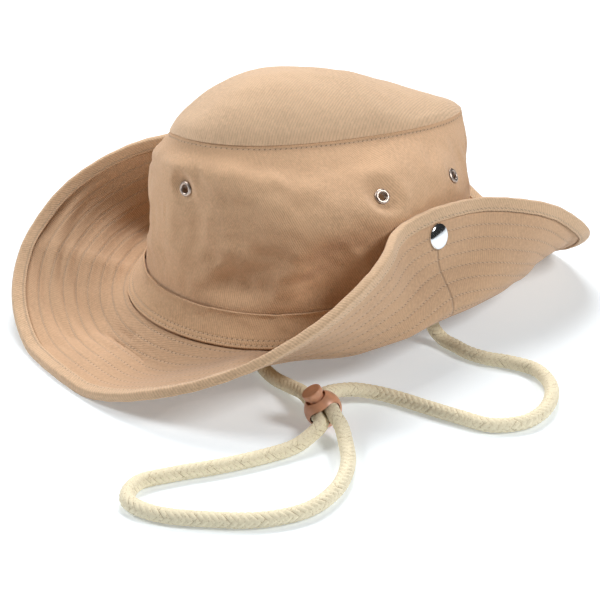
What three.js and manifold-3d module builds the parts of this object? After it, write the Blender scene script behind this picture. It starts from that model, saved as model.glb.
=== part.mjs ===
// Bush hat in cotton twill, with its sides snapped up and a chin cord on a sliding lock.
// Millimetres, +Z up. The front of the hat faces -Y and the wearer's left is +X.
// The origin is the middle of the hat on the surface that it rests on.

import * as THREE from 'three';
import { mergeVertices } from 'three/addons/utils/BufferGeometryUtils.js';
import Module from 'manifold-3d';

const wasm = await Module();
wasm.setup();

// Head opening
const headGirth = 580; // inside girth of the crown at the top of the hatband
const headOval = 1.081; // length over width
const crownCentre = -1.25; // middle of the head opening along Y

// Crown and its flat top panel, the tip
const crownHeight = 99.5; // from the brim seam to the middle of the tip seam
const crownCloth = 1.6;
const tipLength = 187;
const tipWidth = 95;
const tipShift = 7.5; // how far the tip lies behind the head opening
const tipTilt = 0.065; // fall of the tip per length towards the back
const tipEgg = 0.04; // how much narrower the front is than the back
const tipSquare = 2.4; // 2 is an ellipse, more is squarer
const tipRise = 25; // dome of the tip above its seam
const tipLean = 0.55; // how much more the front of the dome rises than the back
const tipCloth = 1.6;
const domeFlatness = 2.2; // how long the dome stays level from its middle
const domeEdge = 0.9; // how upright the dome meets its seam

// Hatband, flared where it meets the brim
const bandHeight = 17;
const bandFlare = 10.5;
const bandCloth = 1.2;
const flareCurve = 1.7; // 1 is a straight flare, more turns out lower down

// Brim and the binding folded over its edge
const seamHeight = 17.8; // brim seam above the surface
const seamLift = 10; // how much higher the seam is at the sides, where the brim is held up
const liftReach = 6; // how closely the lift keeps to the sides
const brimWidth = 70; // binding included
const brimCloth = 2.6; // two quilted plies
const bindingWidth = 8;
const bindingCloth = 1;

// Eyelets
const eyeletHole = 4.6;
const eyeletFlange = 8.8;
const eyeletMetal = 0.5;
const eyeletHeight = 76.5; // above the brim seam

// Snaps that hold the sides up
const snapRound = 103; // degrees round from the front
const snapHeight = 51; // above the brim seam
const snapCap = 15;
const snapCapDome = 2.6;
const socketWidth = 12;
const socketDepth = 3.2;
const socketMetal = 0.6;
const studHead = 7;
const studHeadDepth = 2;
const studFlange = 11;
const studMetal = 0.8;
const snapPost = 4;
const snapFlat = 17; // radius of cloth that the snap holds flat
const snapFade = 55; // radius where the cloth curves freely again

// Chin cord and its lock
const cordDiameter = 8;
const lockDiameter = 20;
const buttonDiameter = 11;
const buttonCap = 2.5;
const buttonTravel = 2;
const lockBore = 10.8;

// Clearances
const gap = 0.3; // between cloth, trim and metal
const bendGap = 0.6; // round a flat flange on curved cloth
const slotGap = 0.5; // round a strand in the lock
const boreGap = 0.15; // round the button's stem

// How finely rings are divided
const ringSteps = 50;
const trimSteps = 12;
const holeSteps = 12;
const boreSteps = 24;
const slotSteps = 6;
const ballSteps = 18;
const ballRows = 11;

const degrees = Math.PI / 180;
const nearby = 1; // step, in mm or degrees, at which the slope of a surface is measured

// Crown taper from the head opening (0) to the tip seam (1), by share of the height above the hatband.
const crownTaper = [
  { rise: 0, taper: 0 },
  { rise: 0.2, taper: 0.02 },
  { rise: 0.42, taper: 0.08 },
  { rise: 0.62, taper: 0.21 },
  { rise: 0.8, taper: 0.45 },
  { rise: 0.92, taper: 0.74 },
  { rise: 1, taper: 1 },
];

// Soft dents (deep above 0) and swells (below 0) of the crown wall. round and wide are degrees,
// rise and tall are shares of the height above the hatband, deep is a share of the crown's height.
const crownDents = [
  { round: 38, rise: 0.2, wide: 17, tall: 0.2, deep: 0.03 },
  { round: 72, rise: 0.12, wide: 13, tall: 0.16, deep: 0.026 },
  { round: 58, rise: 0.55, wide: 20, tall: 0.16, deep: -0.02 },
  { round: 14, rise: 0.5, wide: 12, tall: 0.25, deep: 0.018 },
  { round: -40, rise: 0.35, wide: 20, tall: 0.25, deep: 0.024 },
  { round: -78, rise: 0.6, wide: 18, tall: 0.2, deep: 0.02 },
  { round: 165, rise: 0.45, wide: 24, tall: 0.25, deep: 0.024 },
  { round: -150, rise: 0.3, wide: 18, tall: 0.2, deep: 0.02 },
];

// Places where the soft tip seam sinks. round and wide are degrees, deep is a share of the crown's height.
const tipSlumps = [
  { round: -150, wide: 38, deep: 0.085 },
  { round: -28, wide: 28, deep: 0.045 },
];

// The brim's edge seen from its seam, by degrees round from the front. out, up and along are shares of
// the brim's width: away from the crown, upwards, and round towards the back. dip is the angle in
// degrees at which the brim leaves the seam, below the horizontal, and roll is how gently it turns there.
const brimStations = [
  { round: 0, out: 0.915, up: -0.24, along: 0, dip: 38, roll: 0.7 },
  { round: 15, out: 0.95, up: -0.155, along: 0.016, dip: 36, roll: 0.7 },
  { round: 30, out: 0.985, up: 0.048, along: -0.006, dip: 26, roll: 0.6 },
  { round: 45, out: 0.958, up: 0.277, along: -0.06, dip: 14, roll: 0.5 },
  { round: 60, out: 0.804, up: 0.529, along: -0.12, dip: 6, roll: 0.35 },
  { round: 75, out: 0.466, up: 0.721, along: -0.165, dip: -4, roll: 0.3 },
  { round: 90, out: 0.012, up: 0.82, along: -0.13, dip: -6, roll: 0.3 },
  { round: 105, out: -0.205, up: 0.856, along: 0.08, dip: -5, roll: 0.4 },
  { round: 120, out: 0.06, up: 0.839, along: 0.3, dip: -18, roll: 1.2 },
  { round: 135, out: 0.524, up: 0.683, along: 0.324, dip: -6, roll: 1.2 },
  { round: 150, out: 0.914, up: 0.331, along: 0.167, dip: 20, roll: 0.5 },
  { round: 165, out: 0.975, up: -0.01, along: 0.024, dip: 29, roll: 0.35 },
  { round: 180, out: 0.952, up: -0.235, along: 0, dip: 35, roll: 0.7 },
];
const brimCurl = 0.3; // how far the brim keeps turning past its chord at the edge
const brimFree = 0.15; // share of the brim, from its seam, that the snaps leave free
const brimHeld = 0.6; // share from which they hold it fully

// Rows of the brim from the seam to the start of the binding, as shares of the way.
const brimRows = [0, 0.07, 0.15, 0.25, 0.4, 0.65, 1];

// Rows of the hatband and of the crown behind it, as shares of the hatband's height.
const bandRows = [0, 0.35, 0.7, 1];

// Rows of the crown above the hatband, as shares of the way to the tip seam. Two of them lie just below
// and above the eyelets.
const wallRows = [0.18, 0.4, 0.655, 0.785, 0.9, 1];

// Rows of the tip from its middle to its seam, as shares of its half width.
const tipRows = [0, 0.3, 0.58, 0.8, 0.93, 1];

const eyeletPlaces = [
  { name: 'eyelet_front', round: 11 },
  { name: 'eyelet_side_left', round: 86 },
  { name: 'eyelet_side_right', round: -86 },
  { name: 'eyelet_rear_left', round: 120 },
  { name: 'eyelet_rear_right', round: -120 },
];

// The lock lies on the surface in front of the snapped side. The button's axis points up and to the
// front, and the slot for the two strands runs level through the lock.
const lockCentre = new THREE.Vector3(133.3, -82, lockDiameter / 2);
const buttonAxis = new THREE.Vector3(-0.19, -0.457, 0.869).normalize();
const slotHeading = new THREE.Vector3(0.924, -0.382, 0);

// Chin cord from the left side of the crown over the surface to the lock, round the loop, and back
// through the lock and under the hat to the right side.
const cordFromLeft = [
  [81.5, 26.4, 36],
  [81.5, 26.4, 28],
  [82, 26.6, 20],
  [85.2, 27.6, 10],
  [92, 29.5, 4.8],
  [101, 30.6, 4.1],
  [113, 31.2, 4.1],
  [124, 35, 4.1],
  [136, 43, 4.1],
  [150, 48.5, 4.1],
  [166, 45, 4.1],
  [181, 34, 4.1],
  [192, 18, 4.1],
  [195, 3, 4.1],
  [188, -13, 4.1],
  [172, -21, 4.1],
  [152, -29, 4.1],
  [136, -36, 4.6],
  [126, -44, 6],
  [121, -55, 8.6],
];
const cordLoop = [
  [153.5, -84.5, 9.6],
  [164, -89, 6],
  [179, -98, 4.3],
  [197, -117, 4.1],
  [206, -140, 4.1],
  [202, -163, 4.1],
  [187, -185, 4.1],
  [167, -204, 4.1],
  [150, -208, 4.1],
  [138, -196, 4.1],
  [140, -177, 4.1],
  [146, -154, 4.1],
  [150, -130, 4.1],
  [150.5, -111, 4.4],
  [147.6, -99, 6.2],
];
const cordToRight = [
  [108, -77.5, 7.6],
  [95, -77, 5.8],
  [79, -77, 4.2],
  [62, -74, 4.1],
  [40, -62, 4.1],
  [18, -44, 4.1],
  [-4, -27, 4.1],
  [-28, -14, 4.1],
  [-50, -2, 4.1],
  [-66, 11, 4.6],
  [-75, 20, 9],
  [-80.8, 25.6, 18],
  [-81.5, 26.4, 28],
  [-81.5, 26.4, 36],
];
const cordSteps = 76;
const cordSides = 8;

const colours = {
  twill: 0xc9a784,
  band: 0xc4a17c,
  brim: 0xc6a07b,
  binding: 0xcba883,
  nickel: 0xb9b4ac,
  steel: 0xd4d6da,
  cord: 0xe4d8b8,
  lock: 0xa8704d,
};

// Half lengths and half widths of the ovals

// Girth of an oval with a half width of 1
function ovalGirth(ratio) {
  return Math.PI * (3 * (1 + ratio) - Math.sqrt((3 * ratio + 1) * (ratio + 3)));
}

const headHalfWidth = headGirth / ovalGirth(headOval) + crownCloth;
const headHalfLength = (headGirth / ovalGirth(headOval)) * headOval + crownCloth;
const bandTop = seamHeight + bandHeight;
const liftFade = bandHeight * 2.5; // height over which the lift of the seam fades out
const seamTuck = gap * 1.6; // how far the brim's inner edge lies below the seam
const tipSeam = seamHeight + crownHeight;
const brimStartHeight = seamHeight - seamTuck - brimCloth / 2 / Math.cos(brimStations[0].dip * degrees);
const wallBottom = brimStartHeight - brimCloth / 2;

// Interpolation in a table of rows, smooth through every row

function rowSlope(rows, place, column, index) {
  const before = rows[Math.max(index - 1, 0)];
  const after = rows[Math.min(index + 1, rows.length - 1)];
  return (after[column] - before[column]) / (after[place] - before[place]);
}

function rowValue(rows, place, column, at) {
  let index = rows.findIndex((row) => row[place] > at) - 1;
  if (index < 0) index = at <= rows[0][place] ? 0 : rows.length - 2;
  const low = rows[index];
  const high = rows[index + 1];
  const span = high[place] - low[place];
  const share = THREE.MathUtils.clamp((at - low[place]) / span, 0, 1);
  const square = share * share;
  const cube = square * share;
  return (
    low[column] * (2 * cube - 3 * square + 1) +
    rowSlope(rows, place, column, index) * span * (cube - 2 * square + share) +
    high[column] * (3 * square - 2 * cube) +
    rowSlope(rows, place, column, index + 1) * span * (cube - square)
  );
}

// Degrees from -180 to 180
function wrapped(angle) {
  return angle - 360 * Math.round(angle / 360);
}

// Solids

// A closed body with merged corners, no empty triangles and its faces pointing out
function closedBody(source) {
  const bare = source.clone();
  bare.deleteAttribute('normal');
  bare.deleteAttribute('uv');
  const merged = mergeVertices(bare, 1e-4);
  const corners = merged.getAttribute('position');
  const kept = [];
  let volume = 0;
  const corner = [new THREE.Vector3(), new THREE.Vector3(), new THREE.Vector3()];
  for (let start = 0; start < merged.index.count; start += 3) {
    const ids = [0, 1, 2].map((step) => merged.index.getX(start + step));
    if (ids[0] === ids[1] || ids[1] === ids[2] || ids[2] === ids[0]) continue;
    ids.forEach((id, step) => corner[step].fromBufferAttribute(corners, id));
    volume += corner[0].dot(corner[1].clone().cross(corner[2]));
    kept.push(ids);
  }
  const facing = volume < 0 ? kept.map((ids) => [ids[0], ids[2], ids[1]]) : kept;
  merged.setIndex(facing.flat());
  return merged;
}

// A ring swept round through closed sections, each a list of the same number of points. Cells from
// the turned side on are split along their other diagonal, to lie parallel to the body inside them.
function ringBody(sections, turned = Infinity) {
  const positions = [];
  const indices = [];
  const around = sections.length;
  const across = sections[0].length;
  sections.forEach((section) => section.forEach((point) => positions.push(...point.toArray())));
  for (let turn = 0; turn < around; turn += 1) {
    const next = (turn + 1) % around;
    for (let side = 0; side < across; side += 1) {
      const beside = (side + 1) % across;
      const a = turn * across + side;
      const b = next * across + side;
      const c = next * across + beside;
      const d = turn * across + beside;
      if (side < turned) indices.push(a, b, c, a, c, d);
      else indices.push(a, b, d, b, c, d);
    }
  }
  const body = new THREE.BufferGeometry();
  body.setAttribute('position', new THREE.Float32BufferAttribute(positions, 3));
  body.setIndex(indices);
  return closedBody(body);
}

function toManifold(body) {
  const vertProperties = new Float32Array(body.getAttribute('position').array);
  const triVerts = new Uint32Array(body.index.array);
  return new wasm.Manifold(new wasm.Mesh({ numProp: 3, vertProperties, triVerts }));
}

function fromManifold(solid) {
  const mesh = solid.getMesh();
  const body = new THREE.BufferGeometry();
  body.setAttribute('position', new THREE.Float32BufferAttribute(mesh.vertProperties, 3));
  body.setIndex(Array.from(mesh.triVerts));
  return closedBody(body);
}

function cutAway(body, cutters) {
  const rest = cutters.reduce((solid, cutter) => solid.subtract(toManifold(cutter)), toManifold(body));
  return fromManifold(rest);
}

// A body made along +Y, turned to an axis and moved to a place
function turnedTo(body, place, axis) {
  const turn = new THREE.Quaternion().setFromUnitVectors(new THREE.Vector3(0, 1, 0), axis);
  return body.clone().applyQuaternion(turn).translate(place.x, place.y, place.z);
}

// A round bar along an axis through a place, from one depth to another
function roundBar(place, axis, radius, from, to, steps = holeSteps) {
  const bar = new THREE.CylinderGeometry(radius, radius, to - from, steps);
  bar.translate(0, (from + to) / 2, 0);
  return turnedTo(closedBody(bar), place, axis);
}

function turnedBody(profile, steps = trimSteps) {
  return closedBody(new THREE.LatheGeometry(profile.map(([radius, rise]) => new THREE.Vector2(radius, rise)), steps));
}

// Crown wall

// Oval of the crown below the top of the hatband
function headOvalAt(up) {
  const spread = THREE.MathUtils.clamp((bandTop - up) / bandHeight, 0, 1);
  const flare = bandFlare * spread ** flareCurve;
  return { halfLength: headHalfLength + flare, halfWidth: headHalfWidth + flare };
}

// Rise of the crown's lower edge at the sides, which fades out upwards
function sideLift(round, up) {
  const fade = 1 - THREE.MathUtils.smoothstep(up, seamHeight, seamHeight + liftFade);
  return seamLift * fade * Math.sin(round * degrees) ** liftReach;
}

function headPoint(round, up) {
  const oval = headOvalAt(up);
  const across = oval.halfWidth * Math.sin(round * degrees);
  const forward = -oval.halfLength * Math.cos(round * degrees);
  return new THREE.Vector3(across, crownCentre + forward, up + sideLift(round, up));
}

function rounded(value) {
  return Math.sign(value) * Math.abs(value) ** (2 / tipSquare);
}

// Place on the tip's plan, by share of the way from its middle to its seam
function tipPlan(round, share) {
  const forward = Math.cos(round * degrees);
  const across = (tipWidth / 2) * rounded(Math.sin(round * degrees)) * (1 - tipEgg * forward);
  const along = -(tipLength / 2) * rounded(forward);
  const slump = tipSlumps.reduce((sum, row) => {
    const aside = wrapped(round - row.round) / row.wide;
    return sum + row.deep * crownHeight * Math.exp(-aside * aside);
  }, 0);
  const up = tipSeam - share * (tipTilt * along + slump);
  return new THREE.Vector3(share * across, crownCentre + tipShift + share * along, up);
}

function ovalNormal(round, oval) {
  const across = Math.sin(round * degrees) / oval.halfWidth;
  const forward = -Math.cos(round * degrees) / oval.halfLength;
  return new THREE.Vector3(across, forward, 0).normalize();
}

function dentDepth(round, rise) {
  return crownDents.reduce((sum, dent) => {
    const aside = wrapped(round - dent.round) / dent.wide;
    const above = (rise - dent.rise) / dent.tall;
    return sum + dent.deep * crownHeight * Math.exp(-aside * aside - above * above);
  }, 0);
}

const dentStart = 0.12; // the dents fade in above the hatband up to this share of the wall
const dentEnd = 0.8; // and fade out from this share up to the tip seam

// Outside of the crown wall, before the snaps press it flat
function crownPoint(round, up) {
  const rise = THREE.MathUtils.clamp((up - bandTop) / (tipSeam - bandTop), 0, 1);
  const taper = rowValue(crownTaper, 'rise', 'taper', rise);
  const seam = tipPlan(round, 1);
  const point = headPoint(round, up);
  point.x = THREE.MathUtils.lerp(point.x, seam.x, taper);
  point.y = THREE.MathUtils.lerp(point.y, seam.y, taper);
  point.z += (seam.z - tipSeam) * rise;
  const fade = THREE.MathUtils.smoothstep(rise, 0, dentStart) * (1 - THREE.MathUtils.smoothstep(rise, dentEnd, 1));
  return point.addScaledVector(ovalNormal(round, headOvalAt(up)), -dentDepth(round, rise) * fade);
}

function surfaceNormal(surface, round, place, step = nearby, turn = nearby) {
  const around = surface(round + turn, place).sub(surface(round - turn, place));
  const along = surface(round, place + step).sub(surface(round, place - step));
  return around.cross(along).normalize();
}

// Place and outward axis of a snap on the crown wall
function snapSeat(round) {
  const up = seamHeight + snapHeight;
  return { place: crownPoint(round, up), axis: surfaceNormal(crownPoint, round, up) };
}

const snapSeats = {
  left: snapSeat(snapRound),
  right: snapSeat(-snapRound),
};

// Cloth round a snap lies flat at a distance from the crown's seat, and curves freely further out
function heldFlat(point, distance) {
  const moved = point.clone();
  Object.values(snapSeats).forEach((seat) => {
    const arm = point.clone().sub(seat.place);
    const depth = arm.dot(seat.axis);
    const aside = arm.addScaledVector(seat.axis, -depth).length();
    const hold = 1 - THREE.MathUtils.smoothstep(aside, snapFlat, snapFade);
    if (Math.abs(depth) < snapFade) moved.addScaledVector(seat.axis, (distance - depth) * hold);
  });
  return moved;
}

function wallPoint(round, up) {
  const free = crownPoint(round, up);
  const held = heldFlat(free, 0);
  const reach = THREE.MathUtils.smoothstep(up, bandTop, bandTop + bandHeight);
  return free.lerp(held, reach);
}

const wallHeights = [
  wallBottom,
  ...bandRows.map((share) => seamHeight + share * bandHeight),
  ...wallRows.map((share) => bandTop + share * (tipSeam - bandTop)),
];

function wallSection(round) {
  const outside = wallHeights.map((up) => wallPoint(round, up));
  const inside = wallHeights.map((up, row) => {
    const level = row === 0 || row === wallHeights.length - 1;
    const inward = THREE.MathUtils.clamp(up, wallBottom + nearby, tipSeam - nearby);
    const normal = surfaceNormal(wallPoint, round, inward);
    const flat = new THREE.Vector3(normal.x, normal.y, 0).normalize();
    const offset = level ? flat.multiplyScalar(crownCloth / normal.dot(flat)) : normal.multiplyScalar(crownCloth);
    return outside[row].clone().sub(offset);
  });
  return [...outside, ...inside.reverse()];
}

const rounds = Array.from({ length: ringSteps }, (_, turn) => (turn * 360) / ringSteps);

// Place on the flat cells between the rings and rows of the crown wall
function facetPoint(round, up) {
  const cell = 360 / ringSteps;
  const turn = Math.floor(round / cell);
  const row = wallHeights.findIndex((height) => height > up) - 1;
  const aside = round / cell - turn;
  const above = (up - wallHeights[row]) / (wallHeights[row + 1] - wallHeights[row]);
  const [low, high] = [row, row + 1].map((level) => {
    const before = wallPoint(turn * cell, wallHeights[level]);
    return before.lerp(wallPoint((turn + 1) * cell, wallHeights[level]), aside);
  });
  return low.lerp(high, above);
}

// An eyelet sits flat on the cells that its flange covers
function eyeletSeat(round) {
  const up = seamHeight + eyeletHeight;
  const reach = eyeletFlange / 2;
  const turn = reach / (headHalfWidth * degrees);
  return { place: facetPoint(round, up), axis: surfaceNormal(facetPoint, round, up, reach, turn) };
}

const eyelets = eyeletPlaces.map((eyelet) => ({ ...eyelet, seat: eyeletSeat(eyelet.round) }));

function crownWall() {
  const holeDepth = crownCloth * 4; // well past both faces of the wall
  const eyeletRadius = eyeletHole / 2 + eyeletMetal + gap;
  const postRadius = snapPost / 2 + gap;
  const holes = [
    ...eyelets.map(({ seat }) => roundBar(seat.place, seat.axis, eyeletRadius, -holeDepth, holeDepth)),
    ...Object.values(snapSeats).map((seat) => roundBar(seat.place, seat.axis, postRadius, -holeDepth, holeDepth)),
  ];
  return cutAway(ringBody(rounds.map(wallSection)), holes);
}

// Tip: a domed oval panel that rests on the top edge of the wall

function tipPoint(round, share) {
  const point = tipPlan(round, share);
  const lean = 1 + tipLean * share * Math.cos(round * degrees);
  point.z += gap + tipCloth + tipRise * lean * (1 - share ** domeFlatness) ** domeEdge;
  return point;
}

function tipSection(round) {
  const above = tipRows.map((share) => tipPoint(round, share));
  const below = above.map((point) => point.clone().setZ(point.z - tipCloth));
  return [...above, ...below.reverse()];
}

// Hatband: a strip round the bottom of the crown

const bandGap = gap * 1.25; // measured level, so that the gap is kept where the strip slopes

function bandSection(round) {
  const heights = bandRows.map((share) => seamHeight + share * bandHeight);
  const shifted = (up, distance) => {
    const normal = ovalNormal(round, headOvalAt(up));
    return wallPoint(round, up).addScaledVector(normal, distance);
  };
  const inside = heights.map((up) => shifted(up, bandGap));
  const outside = heights.map((up) => shifted(up, bandGap + bandCloth));
  return [...outside, ...inside.reverse()];
}

// Brim

function mirroredStation(row, round) {
  return { ...row, round, along: -row.along };
}

const stationRows = [
  mirroredStation(brimStations[1], -brimStations[1].round),
  ...brimStations,
  mirroredStation(brimStations.at(-2), 360 - brimStations.at(-2).round),
];

const cutWidth = brimWidth - bindingCloth - gap; // brim without its binding

const halvings = 24; // of the search for the curve of the right length

// Curve of the brim's mid surface from the seam to its cut edge, as long as the brim is wide
function brimCurve(round) {
  const side = Math.sign(wrapped(round)) || 1;
  const station = (column) => rowValue(stationRows, 'round', column, Math.abs(wrapped(round)));
  const normal = ovalNormal(round, headOvalAt(seamHeight));
  const tangent = new THREE.Vector3(-normal.y, normal.x, 0);
  const dip = station('dip') * degrees;
  const leave = normal.clone().multiplyScalar(Math.cos(dip)).setZ(-Math.sin(dip));
  const start = headPoint(round, seamHeight).addScaledVector(normal, gap);
  start.z -= seamHeight - brimStartHeight;
  const end = start.clone();
  end.addScaledVector(normal, station('out') * cutWidth);
  end.addScaledVector(tangent, station('along') * cutWidth * side);
  end.z += station('up') * cutWidth;
  const chord = end.clone().sub(start);
  const heading = chord.clone().normalize();
  const arrive = heading.clone().multiplyScalar(1 + brimCurl).addScaledVector(leave, -brimCurl).normalize();
  const bent = (reach) => {
    const first = start.clone().addScaledVector(leave, reach * station('roll'));
    const second = end.clone().addScaledVector(arrive, -reach);
    return new THREE.CubicBezierCurve3(start, first, second, end);
  };
  let low = 0;
  let high = cutWidth;
  for (let step = 0; step < halvings; step += 1) {
    const middle = (low + high) / 2;
    if (bent(middle).getLength() < cutWidth) low = middle;
    else high = middle;
  }
  return bent(low);
}

const brimCurves = new Map();

function brimCurveAt(round) {
  const key = wrapped(round).toFixed(3);
  if (!brimCurves.has(key)) brimCurves.set(key, brimCurve(round));
  return brimCurves.get(key);
}

const snapStack = gap * 2 + bendGap + studMetal + socketDepth; // from the crown wall to the brim's inner ply
const restHeight = bindingCloth + gap + brimCloth / 2; // mid surface of a brim that lies on its binding

// Mid surface of the brim, by share of the way from the seam to the cut edge
function brimPoint(round, share) {
  const free = brimCurveAt(round).getPointAt(THREE.MathUtils.clamp(share, 0, 1));
  const held = heldFlat(free, snapStack + brimCloth / 2);
  const point = free.lerp(held, THREE.MathUtils.smoothstep(share, brimFree, brimHeld));
  point.z = Math.max(point.z, restHeight);
  return point;
}

// Outward along the brim and square to it, at one place
function brimFrame(round, share) {
  const point = brimPoint(round, share);
  const step = 0.02; // of the way across
  const from = brimPoint(round, Math.max(share - step, 0));
  const to = brimPoint(round, Math.min(share + step, 1));
  const out = to.sub(from).normalize();
  const around = brimPoint(round + nearby, share).sub(brimPoint(round - nearby, share));
  const over = around.cross(out).normalize();
  return { point, out, over };
}

const bindingStart = 1 - (bindingWidth - bindingCloth - gap) / cutWidth;
const brimShares = [
  ...brimRows.map((share) => share * bindingStart),
  1,
];

const steepest = 0.7; // least upward share of the brim's normal that its upright inner edge follows

function brimSection(round) {
  const frames = brimShares.map((share) => brimFrame(round, share));
  const surface = (sign) => frames.map(({ point, over }, row) => {
    const upright = new THREE.Vector3(0, 0, Math.sign(over.z) / Math.max(Math.abs(over.z), steepest));
    const lift = row === 0 ? upright : over;
    return point.clone().addScaledVector(lift, (sign * brimCloth) / 2);
  });
  const floor = bindingCloth + gap;
  return [...surface(1), ...surface(-1).reverse()].map((point) => point.setZ(Math.max(point.z, floor)));
}

function brim() {
  const holes = Object.values(snapSeats).map((seat) => {
    const postRadius = snapPost / 2 + gap;
    return roundBar(seat.place, seat.axis, postRadius, snapStack - brimCloth, snapStack + brimCloth * 2);
  });
  return cutAway(ringBody(rounds.map(brimSection)), holes);
}

// Binding: a strip folded over the brim's edge

const bindingInside = 6; // the first point of a section that lies inside the fold

function bindingSection(round) {
  const legs = [bindingStart, 1].map((share) => brimFrame(round, share));
  const edge = legs.at(-1);
  const inner = brimCloth / 2 + gap;
  const outer = inner + bindingCloth;
  const beside = (height) => legs.map(({ point, over }) => point.clone().addScaledVector(over, height));
  const beyond = (reach, height) => edge.point.clone().addScaledVector(edge.out, reach).addScaledVector(edge.over, height);
  const fold = gap + bindingCloth;
  const shoulder = outer * 0.6; // half height of the fold's flat crest
  const raised = (points, floor) => points.map((point) => point.setZ(Math.max(point.z, floor)));
  const outside = [...beside(outer), beyond(fold, shoulder), beyond(fold, -shoulder), ...beside(-outer).reverse()];
  const inside = [...beside(-inner), beyond(gap, -inner), beyond(gap, inner), ...beside(inner).reverse()];
  return [...raised(outside, 0), ...raised(inside, bindingCloth)];
}

// Eyelet: a flanged metal barrel through the crown wall, made along +Y with the wall's outside at 0

function eyeletBody() {
  const hole = eyeletHole / 2;
  const barrel = hole + eyeletMetal;
  const flange = eyeletFlange / 2;
  const crest = flange * 0.8; // radius of the highest part of the rolled front
  const washer = flange * 0.86; // radius of the flange at the back
  const front = bendGap;
  const back = -crownCloth - bendGap;
  return turnedBody([
    [hole, back - eyeletMetal],
    [washer, back - eyeletMetal],
    [washer, back],
    [barrel, back],
    [barrel, front],
    [flange, front],
    [crest, front + eyeletMetal * 2],
    [hole, front + eyeletMetal],
    [hole, back - eyeletMetal],
  ], holeSteps);
}

// Dome of the snap cap, as shares of the cap's width and of the dome's height
const domeRows = [
  { out: 0.4, rise: 0.68 },
  { out: 0.22, rise: 0.93 },
  { out: 0, rise: 1 },
];

// Snap cap on the outside of the brim, with its post through the cloth and the socket behind,
// made along +Y with the crown wall's outside at 0

function snapSocketBody() {
  const back = snapStack - gap - socketDepth;
  const clothIn = snapStack - gap;
  const clothOut = snapStack + brimCloth + gap;
  const cavity = studHead / 2 + gap;
  const mouth = cavity + socketMetal;
  const roof = back + studHeadDepth + gap;
  return turnedBody([
    [0, roof],
    [cavity, roof],
    [cavity, back],
    [mouth, back],
    [socketWidth / 2, back + socketMetal],
    [socketWidth / 2, clothIn],
    [snapPost / 2, clothIn],
    [snapPost / 2, clothOut],
    [snapCap / 2 - socketMetal, clothOut],
    [snapCap / 2, clothOut + socketMetal],
    ...domeRows.map((row) => [snapCap * row.out, clothOut + snapCapDome * row.rise]),
  ], trimSteps);
}

// Snap stud on the crown wall: a flange and head outside, and a plain cap on the inside

// Bulb of the stud's head, as shares of its width and height
const bulbRows = [
  { out: 0.43, rise: 0 },
  { out: 0.5, rise: 0.5 },
  { out: 0.36, rise: 0.85 },
  { out: 0, rise: 0.85 },
];

function snapStudBody() {
  const seat = bendGap;
  const inside = -crownCloth - bendGap;
  const head = seat + studMetal;
  const studBulb = studHeadDepth + gap;
  return turnedBody([
    [0, inside - studMetal],
    [studFlange / 2, inside - studMetal],
    [studFlange / 2, inside],
    [snapPost / 2, inside],
    [snapPost / 2, seat],
    [studFlange / 2, seat],
    [studFlange / 2, head],
    ...bulbRows.map((row) => [studHead * row.out, head + studBulb * row.rise]),
  ], trimSteps);
}

// Chin cord

const slotAcross = new THREE.Vector3().crossVectors(slotHeading, buttonAxis).normalize();
if (slotAcross.z < 0) slotAcross.negate();
const strandOffset = cordDiameter / 2 + gap / 2;
const straightRun = lockDiameter * 0.62; // from the lock's middle to where a strand may bend

// Three points of a strand that goes straight through the lock
function throughLock(side, way) {
  return [-1, 0, 1].map((share) => lockCentre.clone()
    .addScaledVector(slotAcross, side * strandOffset)
    .addScaledVector(slotHeading, way * share * straightRun));
}

function chinCord() {
  const route = [
    ...cordFromLeft.map((point) => new THREE.Vector3(...point)),
    ...throughLock(1, 1),
    ...cordLoop.map((point) => new THREE.Vector3(...point)),
    ...throughLock(-1, -1),
    ...cordToRight.map((point) => new THREE.Vector3(...point)),
  ];
  const outline = new THREE.Shape();
  for (let side = 0; side < cordSides; side += 1) {
    const angle = (side * 2 * Math.PI) / cordSides;
    const x = (cordDiameter / 2) * Math.cos(angle);
    const y = (cordDiameter / 2) * Math.sin(angle);
    if (side === 0) outline.moveTo(x, y);
    else outline.lineTo(x, y);
  }
  outline.closePath();
  const extrudePath = new THREE.CatmullRomCurve3(route, false, 'centripetal');
  return closedBody(new THREE.ExtrudeGeometry(outline, { steps: cordSteps, extrudePath }));
}

// Lock: a ball with a slot for two strands and a bore for its button

const slotHalfHeight = cordDiameter / 2 + slotGap;
const seatDepth = Math.sqrt((lockDiameter / 2) ** 2 - (lockBore / 2) ** 2); // flat round the bore, from the centre

function lockBall() {
  const ball = closedBody(new THREE.SphereGeometry(lockDiameter / 2, ballSteps, ballRows));
  ball.rotateX(Math.PI / 2);
  const bore = roundBar(new THREE.Vector3(), buttonAxis, lockBore / 2, 0, lockDiameter, boreSteps);
  const channel = new THREE.Shape();
  channel.absarc(strandOffset, 0, slotHalfHeight, -Math.PI / 2, Math.PI / 2);
  channel.absarc(-strandOffset, 0, slotHalfHeight, Math.PI / 2, (3 * Math.PI) / 2);
  const depth = lockDiameter * 1.2; // past both sides of the ball
  const slot = new THREE.ExtrudeGeometry(channel, { depth, bevelEnabled: false, curveSegments: slotSteps });
  slot.translate(0, 0, -depth / 2);
  const pose = new THREE.Matrix4().makeBasis(
    slotAcross,
    new THREE.Vector3().crossVectors(slotHeading, slotAcross),
    slotHeading,
  );
  slot.applyMatrix4(pose);
  return cutAway(ball, [closedBody(slot), bore]).translate(lockCentre.x, lockCentre.y, lockCentre.z);
}

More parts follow.
